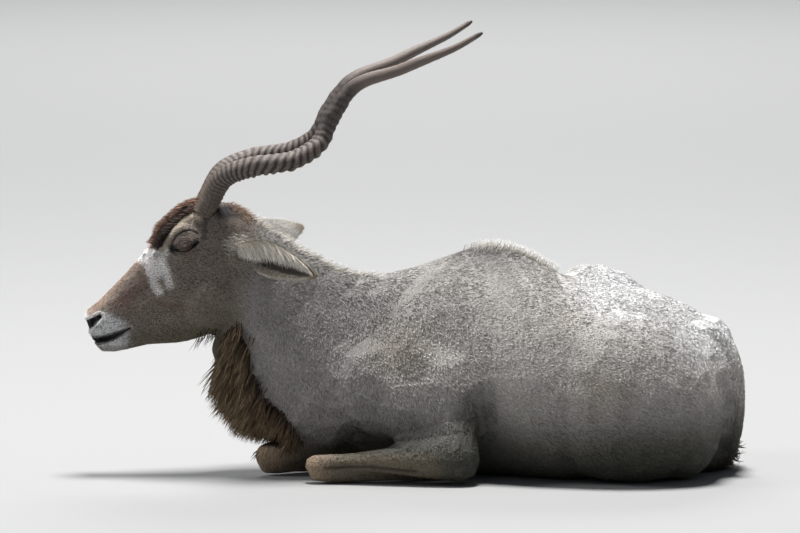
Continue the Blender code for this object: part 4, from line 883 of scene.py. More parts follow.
def tufts(name, slot, places, normals, spots, lie, length, width, lift, tones):
    """Short three-sided hairs as one closed mesh each, root in the hide, tip lifted."""
    count = len(places)
    side = unit(np.cross(normals, lie))
    root = places - normals * (TUFT_SINK * width)[:, None]
    tip = places + lie * (length * np.cos(lift))[:, None] + normals * (length * np.sin(lift))[:, None]
    half = side * (width / 2)[:, None]
    top = root + normals * (TUFT_BACK * width)[:, None]
    points = np.stack((root - half, root + half, top, tip), axis=1).reshape(-1, 3)
    points[:, 2] = np.maximum(points[:, 2], FLOOR_SPREAD * draw.random(len(points)))
    faces = (TUFT_FACES[None] + np.arange(count)[:, None, None] * 4).reshape(-1, 3)
    made = mesh_piece(name, points, faces)
    colours = np.repeat(tones, 4, axis=0).reshape(count, 4, 3)
    colours[:, :2] *= ROOT_SHADE
    colours[:, 2] *= TOP_SHADE
    finish_hair(made, colours, spots[:, None] + np.array(TUFT_PATCH) * PATCH, TUFT_FACES)


def jitter(lie, normals, amount):
    """Turns each direction a little to either side."""
    side = np.cross(normals, lie)
    angle = draw.normal(0, amount, len(lie))[:, None]
    return unit(lie * np.cos(angle) + side * np.sin(angle))


def coat_density(middles):
    """Tufts for each square metre: more on the head and feet, none on the floor, in nostrils or mouth."""
    face = face_share(middles)
    small = np.maximum(face, leg_share(middles))
    density = (1 - small) * BODY_HAIRS + small * FINE_HAIRS
    density *= ease((middles[:, 2] - 0.002) / 0.010)
    head = OnHead(middles)
    nostril, _ = head.distance(NOSTRIL_LINE)
    mouth, _ = head.distance(MOUTH_LINE)
    return density * (1 - face * np.maximum(ease((0.010 - nostril) / 0.004), ease((0.0065 - mouth) / 0.003)))


def coat(ground):
    """The short coat over the whole animal, in pieces by region and side."""
    places, normals, spots = ground.scatter(coat_density(ground.middles))
    count = len(places)
    small = np.maximum(face_share(places), leg_share(places))
    mane = np.maximum(mane_share(places), forelock_share(places))
    length = (BODY_LENGTH * (1 - small) + FINE_LENGTH * small) * draw.uniform(0.7, 1.3, count)
    width = (BODY_WIDTH * (1 - small) + FINE_WIDTH * small) * draw.uniform(0.8, 1.2, count)
    lift = np.radians(draw.normal(7.5, 2.5, count)).clip(0.03, 0.4)
    lie = jitter(lie_at(places, normals), normals, 0.17)
    tones = markings(places) * draw.lognormal(0.04, 0.12, count)[:, None]
    dark = draw.random(count) < (0.18 + 0.08 * small) * (1 - mane)
    tones[dark] *= (0.55 - 0.27 * small)[dark, None]
    hairs = (places, normals, spots, lie, length, width, lift, tones)
    x, y = places[:, 0], places[:, 1]
    regions = [("coat_head", face_share(places) > 0.5)] + [(region, x < end) for region, end in COAT_REGIONS]
    free = np.ones(count, bool)
    for region, inside in regions:
        slot = "face_coat" if region == "coat_head" else "coat"
        for hand, on_side in (("left", y < 0), ("right", y >= 0)):
            chosen = inside & on_side & free
            tufts(f"{region}_{hand}", slot, *(values[chosen] for values in hairs))
        free &= ~inside


# Long hair: thin three-sided locks that leave the hide one way and bend over another

LOCK_PLACES = (0.0, 0.26, 0.54, 0.80)
LOCK_WIDTHS = (0.80, 1.0, 0.80, 0.48)
LOCK_POINTS = 13             # four rings of three, and the tip
LOCK_SINK = 0.003            # depth of the root under the hide
LOCK_FLOOR = 0.0015          # the lowest that a lock hangs over the floor
THROAT_HAIRS = 160000        # locks for each square metre
FORELOCK_HAIRS = 430000
STRAYS = {     # locks for each square metre, lengths, widths, way out, fall, lift, root, tip, slot, spread
    "hair_poll": (130000, (0.009, 0.017), (0.0008, 0.0013), (0.8, 0, 0.5), (1.0, 0, 0.25), 0.35,
                  (0.20, 0.13, 0.09), (0.36, 0.25, 0.18), "face_coat", 0.24),
    "hair_nape": (60000, (0.010, 0.024), (0.0009, 0.0015), (0.6, 0, 0.6), (1.0, 0, 0.25), 0.4,
                  (0.40, 0.36, 0.31), (0.80, 0.76, 0.70), "coat", 0.20),
    "hair_withers": (90000, (0.012, 0.024), (0.0008, 0.0013), (0.10, 0, 1.0), (0.4, 0, 0.8), 0.6,
                     (0.50, 0.46, 0.40), (0.88, 0.85, 0.80), "coat", 0.22),
    "hair_ear_roots": (620000, (0.009, 0.016), (0.0007, 0.0011), (1.0, 0, 0.0), (1.0, 0, -0.45), 0.28,
                       (0.46, 0.41, 0.35), (0.80, 0.76, 0.70), "face_coat", 0.14),
    "hair_jaw": (40000, (0.020, 0.050), (0.0010, 0.0017), (-0.2, 0, -1.0), (-0.55, 0, -0.9), 0.4,
                 (0.05, 0.035, 0.022), (0.10, 0.07, 0.04), "face_coat", 0.15),
    "hair_tail": (130000, (0.045, 0.085), (0.0016, 0.0028), (0.0, 0.9, 0.1), (-0.12, 1.0, -0.05), 0.25,
                  (0.045, 0.032, 0.024), (0.10, 0.07, 0.045), "coat", 0.16),
}


def lock_faces():
    """The triangles of one lock: root, three spans and point."""
    faces = [(0, 2, 1)]
    for ring in range(3):
        for k in range(3):
            a, b = ring * 3 + k, ring * 3 + (k + 1) % 3
            faces += [(a, b, b + 3), (a, b + 3, a + 3)]
    faces += [(9, 10, 12), (10, 11, 12), (11, 9, 12)]
    return np.array(faces)


def locks(name, places, spots, start, fall, length, width, root_tone, tip_tone):
    """Many locks as one piece; start and fall are the ways in which each leaves the hide and bends."""
    count = len(places)
    start, fall = unit(start), unit(fall)
    turn = draw.uniform(0, 2 * math.pi, count)
    swing = np.column_stack((np.cos(turn), np.sin(turn), 0.3 * np.cos(turn * 3)))
    middle = places - start * LOCK_SINK
    rings, ends = [], LOCK_PLACES + (1.0,)
    direction = start
    for k, share in enumerate(LOCK_WIDTHS):
        side = unit(np.cross(direction, swing))
        up = np.cross(direction, side)
        half = (width * share / 2)[:, None]
        for corner in range(3):
            angle = corner * 2 * math.pi / 3
            rings.append(middle + side * half * math.cos(angle) + up * half * math.sin(angle))
        bent = ((ends[k] + ends[k + 1]) / 2) ** 0.7
        sway = side * (0.14 * np.sin(turn + 4 * bent))[:, None]
        direction = unit(start * (1 - bent) + fall * bent + sway)
        middle = middle + direction * (length * (ends[k + 1] - ends[k]))[:, None]
    rings.append(middle)
    points = np.stack(rings, axis=1).reshape(-1, 3)
    points[:, 2] = np.maximum(points[:, 2], LOCK_FLOOR)
    one = lock_faces()
    faces = (one[None] + np.arange(count)[:, None, None] * LOCK_POINTS).reshape(-1, 3)
    made = mesh_piece(name, points, faces)
    along = np.repeat(np.array(ends), (3, 3, 3, 3, 1))
    colours = root_tone[:, None] * (1 - along)[None, :, None] + tip_tone[:, None] * along[None, :, None]
    colours[:, :3] *= 0.6
    corner = np.append(np.tile(np.arange(3), 4), 0) * 2 * math.pi / 3
    patch = np.column_stack((np.cos(corner), np.sin(corner))) * (PATCH / 2 * (1 - along))[:, None]
    finish_hair(made, colours, spots[:, None] + patch, one)


def varied(colour, count, spread):
    """The same colour for many hairs, each a little lighter or darker."""
    return np.array(colour) * draw.lognormal(0, spread, count)[:, None]


def hair_sweep(places, normals, straight, lift, loose):
    """The way that hairs leave the hide: mostly straight, partly outwards, each a little different."""
    return unit(np.array(straight) * (1 - lift) + normals * lift + draw.normal(0, loose, places.shape))


def throat_mane(ground):
    """The dark beard down the throat, swept forward and down, golden towards its tips."""
    middles = ground.middles
    share = mane_share(middles) * (1 - face_share(middles)) * (1 - leg_share(middles))
    share *= before_mane_edge(middles)
    share *= ease((0.335 - middles[:, 2]) / 0.03) * ease((0.105 - np.abs(middles[:, 1])) / 0.04)
    places, normals, spots = ground.scatter(THROAT_HAIRS * ease(share * 1.3 - 0.15))
    count = len(places)
    _, far = line_distance(places * (1, 0, 1), MANE_LINE)
    front = ease((0.02 - normals[:, 0]) / 0.6)
    length = (0.036 + 0.038 * np.sin(np.clip(far, 0, 1) * math.pi) ** 0.7) * draw.uniform(0.65, 1.15, count)
    length *= 0.7 + 0.3 * front
    length = np.minimum(length, 0.030 + np.maximum(places[:, 2] - 0.045, 0) * 0.95)
    fall = np.column_stack((-0.06 - 0.40 * front, 0.15 * normals[:, 1], -np.ones(count)))
    fall += draw.normal(0, 0.16, (count, 3))
    start = unit(hair_sweep(places, normals, (-0.2, 0, -1.0), 0.38, 0.10))
    root = varied(MANE_BROWN_AND_CREASE_SHADE, count, 0.35)
    tip = varied(MANE_TIP, count, 0.5)
    pale = draw.random(count) < 0.07 * (1 + 2 * (1 - front))
    tip[pale] = varied(MANE_GOLD, int(pale.sum()), 0.3)
    root[pale] *= 2.5
    width = draw.uniform(0.0015, 0.0029, count)
    locks("mane_throat", places, spots, start, fall, length, width, root, tip)


def forelock_hair(ground):
    """The chestnut forelock, thick and combed down the forehead, darkened to nearly black along its lower
    edge as painted shade.
    """
    inside = to_head(ground.middles)
    edge = np.interp(inside[:, 0], *np.array(UNDER_LOCK).T)
    above = ease((inside[:, 2] - edge + 0.011) / 0.008) * ease((inside[:, 0] + 0.524) / 0.010)
    density = FORELOCK_HAIRS * above * ease(forelock_share(ground.middles) * 1.4 - 0.2)
    places, normals, spots = ground.scatter(density)
    count = len(places)
    local = to_head(places)
    lie = np.column_stack((np.full(count, -0.80), local[:, 1] * 3, np.full(count, -0.50)))
    pose = np.array(HEAD_POSE)[:3, :3]
    fall = unit(lie @ pose.T) + normals * 0.22
    start = hair_sweep(places, normals, (-0.60, 0, -0.25), 0.55, 0.05)
    edge, _ = flat_distance(local[:, 0], local[:, 2], UNDER_LOCK)
    # painted shade: hairs near the forelock's lower edge darkened, their roots black
    under = ease((0.0100 - edge) / 0.005) * ease((np.abs(local[:, 1]) - 0.010) / 0.01)
    root = varied(CHESTNUT, count, 0.3) * 0.55
    tip = varied(CHESTNUT, count, 0.35) * 1.35
    root = mixed(root, BLACK, under)
    tip = mixed(tip, LOCK_EDGE_SHADE, under)
    length = draw.uniform(0.024, 0.040, count) * (1 - 0.35 * under)
    length *= 1 - 0.45 * ease((-0.485 - local[:, 0]) / 0.030)
    width = draw.uniform(0.0011, 0.0019, count)
    locks("forelock", places, spots, start, fall, length, width, root, tip)


def strays(name, ground, share):
    """Longer hairs over one region, as its row of STRAYS says."""
    density, lengths, widths, way_out, fall, lift, root, tip, slot, loose = STRAYS[name]
    places, normals, spots = ground.scatter(density * share)
    count = len(places)
    start = hair_sweep(places, normals, way_out, lift, loose)
    falls = np.array(fall) + draw.normal(0, loose, (count, 3))
    length = draw.uniform(*lengths, count)
    width = draw.uniform(*widths, count)
    root_tone = varied(root, count, 0.25)
    tip_tone = varied(tip, count, 0.25)
    locks(name, places, spots, start, falls, length, width, root_tone, tip_tone)


def other_long_hair(ground):
    """Poll, nape, withers, the fluff at the ears' roots, the jaw's few wisps and the tail's brush."""
    local = to_head(ground.middles)
    x, y, z = ground.middles.T
    side = np.abs(y)
    up = ease(ground.facing[:, 2] / 0.5)
    strays("hair_poll", ground, spot(local, (-0.345, 0, 0.530), (0.048, 0.045, 0.035)) * up)
    nape = band(x, -0.325, -0.085, 0.04) * ease((0.030 - side) / 0.02) * ease((z - 0.36) / 0.03) * up
    strays("hair_nape", ground, nape)
    crest = band(x, 0.115, 0.275, 0.05) * ease((0.045 - side) / 0.03) * ease((z - 0.40) / 0.03) * up
    strays("hair_withers", ground, crest)
    even = folded(local)
    strays("hair_ear_roots", ground, spot(even, (-0.360, 0.052, 0.468), (0.034, 0.05, 0.026)))
    wisps = spot(even, (-0.408, 0.022, 0.282), (0.045, 0.025, 0.03)) * ease(-ground.facing[:, 2])
    strays("hair_jaw", ground, wisps)
    strays("hair_tail", ground, ease(brush_share(ground.middles) * 1.5 - 0.4))


# Horns: ringed corkscrews, finer than the solids

HORN_BASE = np.array((-0.412, -0.036, 0.554))
HORN_RISE, HORN_SPLAY = math.radians(32.4), math.radians(8.0)
HORN_RUN, HORN_START = 0.636, -0.030
HORN_TWIST = (           # this and the tables below give values at places along the horn's straight axis
    (0.0, 0.5), (0.104, 0.77), (0.170, 1.13), (0.232, 1.54), (0.290, 2.12), (0.366, 2.31), (0.470, 2.35),
    (0.570, 2.60), (0.636, 2.75),
)
HORN_SPREAD = (
    (0.0, 0.0), (0.05, 0.0276), (0.104, 0.0280), (0.170, 0.0246), (0.232, 0.0194), (0.290, 0.0274),
    (0.366, 0.0488), (0.468, 0.0242), (0.570, 0.0054), (0.636, 0.002),
)
HORN_GIRTH = (
    (0.0, 0.0215), (0.08, 0.0204), (0.20, 0.0178), (0.30, 0.0178), (0.345, 0.0158), (0.40, 0.0136),
    (0.45, 0.0121), (0.50, 0.0110), (0.55, 0.0088), (0.60, 0.0068), (0.627, 0.0054), (0.636, 0.0030),
)
RING_SPACING = (
    (0.0, 0.0080), (0.07, 0.0085), (0.11, 0.0140), (0.24, 0.0145), (0.30, 0.0125), (0.40, 0.0160),
)
RING_SLANT = (
    (0.0, 0.05), (0.06, 0.0), (0.10, -0.55), (0.16, -0.75), (0.22, -0.45), (0.27, 0.10), (0.40, 0.25),
)
RING_HEIGHT = (
    (-0.03, 0.0006), (0.0, 0.0008), (0.07, 0.0014), (0.11, 0.0026), (0.22, 0.0030), (0.27, 0.0016),
    (0.345, 0.0006), (0.38, 0.0),
)
RINGS_END = RING_HEIGHT[-1][0]
TABLES_END = RING_SPACING[-1][0]
RINGED_ROWS, TIP_ROWS, HORN_SIDES = 270, 70, 44
RINGED_SPAN, TIP_SPAN = (HORN_START, 0.37), (0.374, HORN_RUN)        # where the mesh has these rows
# pale horn: painted highlight on the ring ridges, and the smooth pale end
HORN_PALE_AND_HIGHLIGHT = (0.135, 0.106, 0.090)
HORN_MID = (0.045, 0.036, 0.031)
# painted shade in the grooves between the rings
HORN_GROOVE_SHADE = (0.011, 0.008, 0.006)
HORN_ROOT = (0.092, 0.070, 0.052)


def horn_middle(run, fullness):
    """The left horn's middle line on the straight head; a lower fullness makes a closer corkscrew."""
    twist = curve(HORN_TWIST, run) * math.pi
    spread = curve(HORN_SPREAD, run) * fullness
    forward = np.array((math.cos(HORN_RISE), 0, math.sin(HORN_RISE)))
    over = np.array((-math.sin(HORN_RISE), 0, math.cos(HORN_RISE)))
    lean = run * math.tan(HORN_SPLAY) - spread * np.cos(twist)
    return (HORN_BASE + run[:, None] * forward + (spread * np.sin(twist))[:, None] * over
            - lean[:, None] * np.array((0, 1, 0)))


def horn_line(run, fullness):
    """The middle line, drawn on straight into the head, with the directions beside it and up from it."""
    held = np.maximum(run, 0)
    middle = horn_middle(held, fullness)
    back = unit(horn_middle(np.array((0.0, 0.01)), fullness)[1:] - horn_middle(np.array((0.0,)), fullness))
    middle += np.minimum(run, 0)[:, None] * back
    along = unit(horn_middle(np.minimum(held + 0.004, HORN_RUN), fullness)
                 - horn_middle(np.maximum(held - 0.004, 0), fullness))
    side = unit(np.cross(along, (0, 0, 1)))
    return middle, side, np.cross(side, along)


def horn_rings(run, angle):
    """The horn's radius, how far up a ring's ridge each place is, and how strong the rings are round it."""
    steps = np.linspace(HORN_START, TABLES_END, 600)
    turns = np.concatenate(((0,), np.cumsum(np.diff(steps) / curve(RING_SPACING, np.maximum(steps[1:], 0)))))
    count = np.interp(run, steps, turns)
    slant = curve(RING_SLANT, np.clip(run, 0, TABLES_END))
    wobble = 0.10 * np.sin(3 * angle[None] + run[:, None] * 37)
    phase = count[:, None] + slant[:, None] * np.sin(angle)[None] + wobble
    ridge = (0.5 - 0.5 * np.cos(2 * math.pi * phase)) ** 0.75
    height = np.where(run < RINGS_END, curve(RING_HEIGHT, np.minimum(run, RINGS_END)), 0)[:, None]
    uneven = 1 + 0.30 * np.sin(2.4 * np.floor(phase) + 1.3)
    strength = 0.80 - 0.42 * np.sin(angle + 0.25)[None]
    rough = draw.normal(0, 0.00012, phase.shape)
    swell = 0.0006 * band(run, 0.24, 0.36, 0.05)[:, None] * np.sin(run[:, None] * 190 + 2 * angle[None])
    girth = curve(HORN_GIRTH, np.maximum(run, 0))[:, None]
    radius = girth - 0.0008 + height * uneven * strength * ridge + swell + rough
    return radius, ridge, strength


def horn_tones(run, ridge, strength):
    """Grooves darkened as painted shade, most on the underside, between ridges paled as painted highlight, a
    browner root, streaks along the horn, and a smooth pale end.
    """
    run = run[:, None]
    ringed = (0.25 + 0.75 * ease((0.30 - run) / 0.08)) * ease((0.385 - run) / 0.05)
    ringed = ringed * ease((run + 0.01) / 0.05)
    # painted shade in the grooves, strongest on the underside where the rings are strongest
    groove_shade = (1 - ease(ridge * 1.25)) * ringed * np.clip(strength, 0.40, 0.95)
    root = ease((0.075 - run) / 0.07)
    # painted highlight: the ring ridges paler
    base = mixed(np.array(HORN_MID), HORN_PALE_AND_HIGHLIGHT, ease(ridge) * ringed)
    tones = mixed(mixed(base, HORN_ROOT, root), HORN_GROOVE_SHADE, groove_shade * (1.0 - 0.45 * root))
    streak = draw.lognormal(0, 0.16, (1, HORN_SIDES, 1))
    tones = tones * streak * draw.lognormal(0, 0.20, tones.shape[:2] + (1,))
    tones = mixed(tones, np.array(HORN_PALE_AND_HIGHLIGHT) * 1.3, 0.7 * ease((run - 0.34) / 0.06))
    return tones * (1 - 0.6 * ease((run - 0.615) / 0.015))[:, :, None]


def closed_tube(name, rings):
    """A closed mesh of triangles from rings of points, one after another, with a fan at each end."""
    count, sides = rings.shape[:2]
    points = np.vstack((rings.reshape(-1, 3), rings[0].mean(0), rings[-1].mean(0)))
    row = np.arange(count - 1)[:, None] * sides
    here, after = np.arange(sides)[None], (np.arange(sides)[None] + 1) % sides
    a, b, c, d = row + here, row + after, row + sides + after, row + sides + here
    walls = np.concatenate((np.stack((a, b, c), -1).reshape(-1, 3), np.stack((a, c, d), -1).reshape(-1, 3)))
    k, n = np.arange(sides), (np.arange(sides) + 1) % sides
    low = np.column_stack((n, k, np.full(sides, count * sides)))
    last = (count - 1) * sides
    high = np.column_stack((last + k, last + n, np.full(sides, count * sides + 1)))
    return mesh_piece(name, points, np.concatenate((walls, low, high)))


def horn(name, fullness, mirror):
    """One horn with its rings, drawn on the left and mirrored for the right."""
    run = np.concatenate((np.linspace(*RINGED_SPAN, RINGED_ROWS), np.linspace(*TIP_SPAN, TIP_ROWS)))
    angle = 2 * math.pi * np.arange(HORN_SIDES) / HORN_SIDES
    middle, side, up = horn_line(run, fullness)
    radius, ridge, strength = horn_rings(run, angle)
    rings = (middle[:, None] + side[:, None] * (np.cos(angle)[None] * radius)[:, :, None]
             + up[:, None] * (np.sin(angle)[None] * radius)[:, :, None])
    if mirror:
        rings = rings[:, ::-1] * (1, -1, 1)
        ridge = ridge[:, ::-1]
        strength = strength[:, ::-1]
    made = closed_tube(name, posed(rings.reshape(-1, 3)).reshape(rings.shape))
    tones = horn_tones(run, ridge, strength).reshape(-1, 3)
    paint(made, np.clip(np.vstack((tones, tones[:1], tones[-1:])), 0, 1))
    finish_piece(made, HORN, name)


def finish_piece(made, finish, node):
    """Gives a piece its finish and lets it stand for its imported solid."""
    made.data.materials.clear()
    made.data.materials.append(finish)
    pick(made)
    bpy.ops.object.shade_smooth()
    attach(made, "root")
    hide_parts(node)


# Ears: leaf-shaped cups with hair on their backs and a long fringe from the upper rim

EAR_LENGTH, EAR_WIDTH, EAR_WALL = 0.170, 0.078, 0.004
EAR_ROWS, EAR_COLUMNS = 40, 28           # spans of the mesh along an ear and across it
EAR_HALF = ((0.0, 0.40), (0.10, 0.62), (0.28, 0.96), (0.48, 1.0), (0.70, 0.80), (0.88, 0.44), (1.0, 0.06))
EAR_CUP = ((0.0, 1.35), (0.2, 1.15), (0.5, 0.80), (0.8, 0.52), (1.0, 0.30))
EARS = {       # root on the straight head, way along it, way its opening faces, droop, side of the upper rim
    "ear_left": ((-0.362, -0.050, 0.455), (0.905, -0.36, -0.14), (0.00, -0.93, -0.36), 0.018, -1),
    "ear_right": ((-0.362, 0.050, 0.452), (0.78, 0.58, 0.22), (-0.30, 0.80, -0.55), 0.010, 1),
}
EAR_PALE = (0.56, 0.50, 0.42)
EAR_TAN = (0.33, 0.235, 0.145)
# painted shade deep in the ear's cup
EAR_CUP_SHADE = (0.030, 0.022, 0.016)
EAR_WHITE = (0.80, 0.77, 0.72)
EAR_HAIRS = 5200             # on each ear's back
RIM_HAIR = {   # the upper rim's long fringe, which hangs over the cup, and the lower rim's short hair
    "ear_fringe": {
        "count": 2600, "rim": 1, "along": (0.01, 0.97, 1.15), "inwards": (0.34, 1.3),
        "way_out": (0.45, 0, -0.2), "opening": 0.5, "fall": (0.42, 0.18, -1.0), "loose": 0.16,
        "lengths": ((0, 0.15, 0.45, 0.75, 1), (0.032, 0.050, 0.052, 0.033, 0.009)),
        "widths": (0.0009, 0.0017),
        "root": (0.45, 0.38, 0.29), "tip": (0.86, 0.83, 0.77), "tip_spread": 0.15,
    },
    "ear_rim": {
        "count": 900, "rim": -1, "along": (0.02, 0.94, 1.0), "inwards": (0.30, 1.4),
        "way_out": (0.3, 0, 0.3), "opening": 0.6, "fall": (0.75, 0.25, 0.25), "loose": 0.15,
        "lengths": ((0, 0.5, 1), (0.014, 0.012, 0.006)),
        "widths": (0.0009, 0.0016),
        "root": (0.30, 0.23, 0.16), "tip": (0.72, 0.67, 0.58), "tip_spread": 0.2,
    },
}


def ear_surface(name, t, a, inner):
    """Places and outward directions on an ear's back, or in its cup, at shares along and across it."""
    root, along, opening, droop, _ = EARS[name]
    root = posed(np.array((root,)))[0]
    along = np.array(along) / np.linalg.norm(along)
    opening = np.array(opening) - along * np.dot(opening, along)
    opening /= np.linalg.norm(opening)
    across = np.cross(along, opening)
    bend = curve(EAR_CUP, t)
    half = curve(EAR_HALF, t) * EAR_WIDTH / 2
    radius = half / np.sin(np.minimum(bend, 1.5))
    angle = bend * a
    middle = root + t[:, None] * EAR_LENGTH * along - (droop * t ** 2)[:, None] * np.array((0, 0, 1))
    middle = middle + opening * (radius * np.cos(bend))[:, None]
    out = across * np.sin(angle)[:, None] - opening * np.cos(angle)[:, None]
    wall = EAR_WALL * (1 - 0.45 * t) * (1 - 0.35 * np.abs(a) ** 3) if inner else 0
    return middle + out * (radius - wall)[:, None], -out if inner else out


def ear_faces():
    """The triangles of an ear: its back, its cup, and the rim between them."""
    columns, cup = EAR_COLUMNS + 1, (EAR_ROWS + 1) * (EAR_COLUMNS + 1)
    faces = []
    for i in range(EAR_ROWS):
        for k in range(EAR_COLUMNS):
            p, q = i * columns + k, i * columns + k + 1
            r, s = q + columns, p + columns
            faces += [(p, q, r), (p, r, s), (cup + p, cup + r, cup + q), (cup + p, cup + s, cup + r)]
    rim = [i * columns for i in range(EAR_ROWS + 1)]
    rim += [EAR_ROWS * columns + k for k in range(1, columns)]
    rim += [i * columns + EAR_COLUMNS for i in range(EAR_ROWS - 1, -1, -1)]
    rim += list(range(EAR_COLUMNS - 1, 0, -1))
    for p, q in zip(rim, rim[1:] + rim[:1]):
        faces += [(p, q, cup + q), (p, cup + q, cup + p)]
    return np.array(faces)


def ear_tones(t, across, inner, grey):
    """Colours along and across an ear, with painted shade deep in its cup.

    across is 1 at the ear's upper rim, and grey is 1 for the greyer right ear.
    """
    tones = np.tile(np.array(EAR_PALE), (len(t), 1))
    tones = mixed(tones, EAR_WHITE, 0.7 * grey)
    if inner:
        # painted shade deep in the cup
        deep = ease((1 - np.abs(across)) / 0.5) * ease((t - 0.02) / 0.1)
        tones = mixed(tones, EAR_CUP_SHADE, 0.96 * deep)
    tan_root = band(t, 0.02, 0.34, 0.12) * ease((across - 0.1) / 0.5) * (1 - grey)
    tan = np.maximum(ease((t - 0.80) / 0.18), tan_root)
    tones = mixed(tones, EAR_TAN, 0.75 * tan * (0.35 if inner else 1))
    rim = ease((np.abs(across) - 0.86) / 0.1)
    tones = mixed(tones, EAR_WHITE, 0.6 * rim * ease((0.97 - t) / 0.1))
    return tones * (1 - 0.42 * grey)


def ear_coat(name, grey):
    """Short hair over an ear's back."""
    _, along, _, _, upper = EARS[name]
    along = np.array(along)
    t, a = draw.random(EAR_HAIRS) ** 0.85, draw.uniform(-1, 1, EAR_HAIRS)
    places, normals = ear_surface(name, t, a, False)
    lie = unit(np.tile(along, (EAR_HAIRS, 1)) - normals * (normals @ along)[:, None])
    tones = ear_tones(t, a * upper, False, grey) * draw.lognormal(0.1, 0.16, EAR_HAIRS)[:, None]
    spots = np.column_stack((t, (a + 1) / 4))
    lie = jitter(lie, normals, 0.3)
    length = draw.uniform(0.007, 0.012, EAR_HAIRS)
    width = draw.uniform(0.0011, 0.0018, EAR_HAIRS)
    lift = np.radians(draw.uniform(8, 22, EAR_HAIRS))
    tufts(f"ear_coat_{name[4:]}", "face_coat", places, normals, spots, lie, length, width, lift, tones)


def rim_hair(kind, name):
    """Long hair along one rim of an ear."""
    hair = RIM_HAIR[kind]
    count = hair["count"]
    _, _, opening, _, upper = EARS[name]
    first, span, gather = hair["along"]
    inwards, crowd = hair["inwards"]
    t = draw.random(count) ** gather * span + first
    a = upper * hair["rim"] * (1 - inwards * draw.random(count) ** crowd)
    places, _ = ear_surface(name, t, a, True)
    fall = np.array(hair["fall"]) * (1, np.sign(opening[1]), 1) + draw.normal(0, hair["loose"], (count, 3))
    way_out = np.array(opening) * hair["opening"] + np.array(hair["way_out"])
    start = unit(way_out + draw.normal(0, 0.15, (count, 3)))
    length = np.interp(t, *hair["lengths"]) * draw.uniform(0.6, 1.1, count)
    width = draw.uniform(*hair["widths"], count)
    root_tone = varied(hair["root"], count, 0.25)
    tip_tone = varied(hair["tip"], count, hair["tip_spread"])
    spots = np.column_stack((t, 0.5 + (a + 1) / 4))
    locks(f"{kind}_{name[4:]}", places, spots, start, fall, length, width, root_tone, tip_tone)


def ear(name):
    """One ear as a closed cup, in triangles, with its hair."""
    t, a = (grid.ravel() for grid in np.meshgrid(np.linspace(0, 1, EAR_ROWS + 1),
                                                 np.linspace(-1, 1, EAR_COLUMNS + 1), indexing="ij"))
    back, _ = ear_surface(name, t, a, False)
    cup, _ = ear_surface(name, t, a, True)
    made = mesh_piece(name + "_cup", np.vstack((back, cup)), ear_faces())
    grey = float(name == "ear_right")
    across = a * EARS[name][4]
    paint(made, np.vstack((ear_tones(t, across, False, grey), ear_tones(t, across, True, grey))))
    finish_piece(made, HIDE, name)
    ear_coat(name, grey)
    for kind in RIM_HAIR:
        rim_hair(kind, name)


# Eyes and hooves

IRIS_SIZE = 0.64             # these three are half sizes, as shares of the eyeball's radius
PUPIL_WIDTH, PUPIL_HEIGHT = 0.36, 0.17
EYE_DARK, IRIS_BROWN, PUPIL_BLACK = (0.10, 0.06, 0.045), (0.060, 0.026, 0.010), (0.004, 0.003, 0.003)
CLAW_DARK, CLAW_RINGS = (0.026, 0.022, 0.019), (0.030, 0.025, 0.020)


def eye(name, sign):
    """A glossy eyeball with a brown iris and a wide, level pupil."""
    bpy.ops.object.select_all(action="DESELECT")
    place = HEAD_POSE @ Vector((EYE_CENTRE.x, sign * EYE_CENTRE.y, EYE_CENTRE.z)) + SHIFT
    bpy.ops.mesh.primitive_uv_sphere_add(segments=64, ring_count=48, radius=EYE_RADIUS)
    made = bpy.context.active_object
    made.name = name + "_ball"
    made.data.transform(Matrix.Translation(place))
    look = np.array((HEAD_POSE.to_3x3() @ Vector((-0.10, -sign, -0.10))).normalized())
    away = (read_points(made) - np.array(place - SHIFT)) / EYE_RADIUS
    facing = away @ look
    level = np.cross(look, (0, 0, 1))
    level /= np.linalg.norm(level)
    along, above = away @ level, away @ np.cross(level, look)
    iris = ease((IRIS_SIZE - np.sqrt(np.clip(1 - facing ** 2, 0, 1))) / 0.05) * (facing > 0)
    pupil = ease((1 - np.hypot(along / PUPIL_WIDTH, above / PUPIL_HEIGHT)) / 0.2) * (facing > 0)
    tones = np.tile(np.array(EYE_DARK), (len(away), 1))
    paint(made, mixed(mixed(tones, IRIS_BROWN, iris), PUPIL_BLACK, pupil))
    finish_piece(made, EYE, name)


def hoof(node):
    """One claw of a hoof, rounded, with faint growth rings."""
    copy = merged_copy(node, node + "_claw")
    modify(copy, "SUBSURF", levels=3, render_levels=3)
    points = read_points(copy)
    points[:, 2] = np.maximum(points[:, 2], 0)
    write_points(copy, points)
    rings = 0.5 + 0.5 * np.sin(points[:, 0] * 900 + 40 * points[:, 2])
    paint(copy, np.array(CLAW_DARK) + rings[:, None] * np.array(CLAW_RINGS))
    finish_piece(copy, HOOF, node)


# Finishes

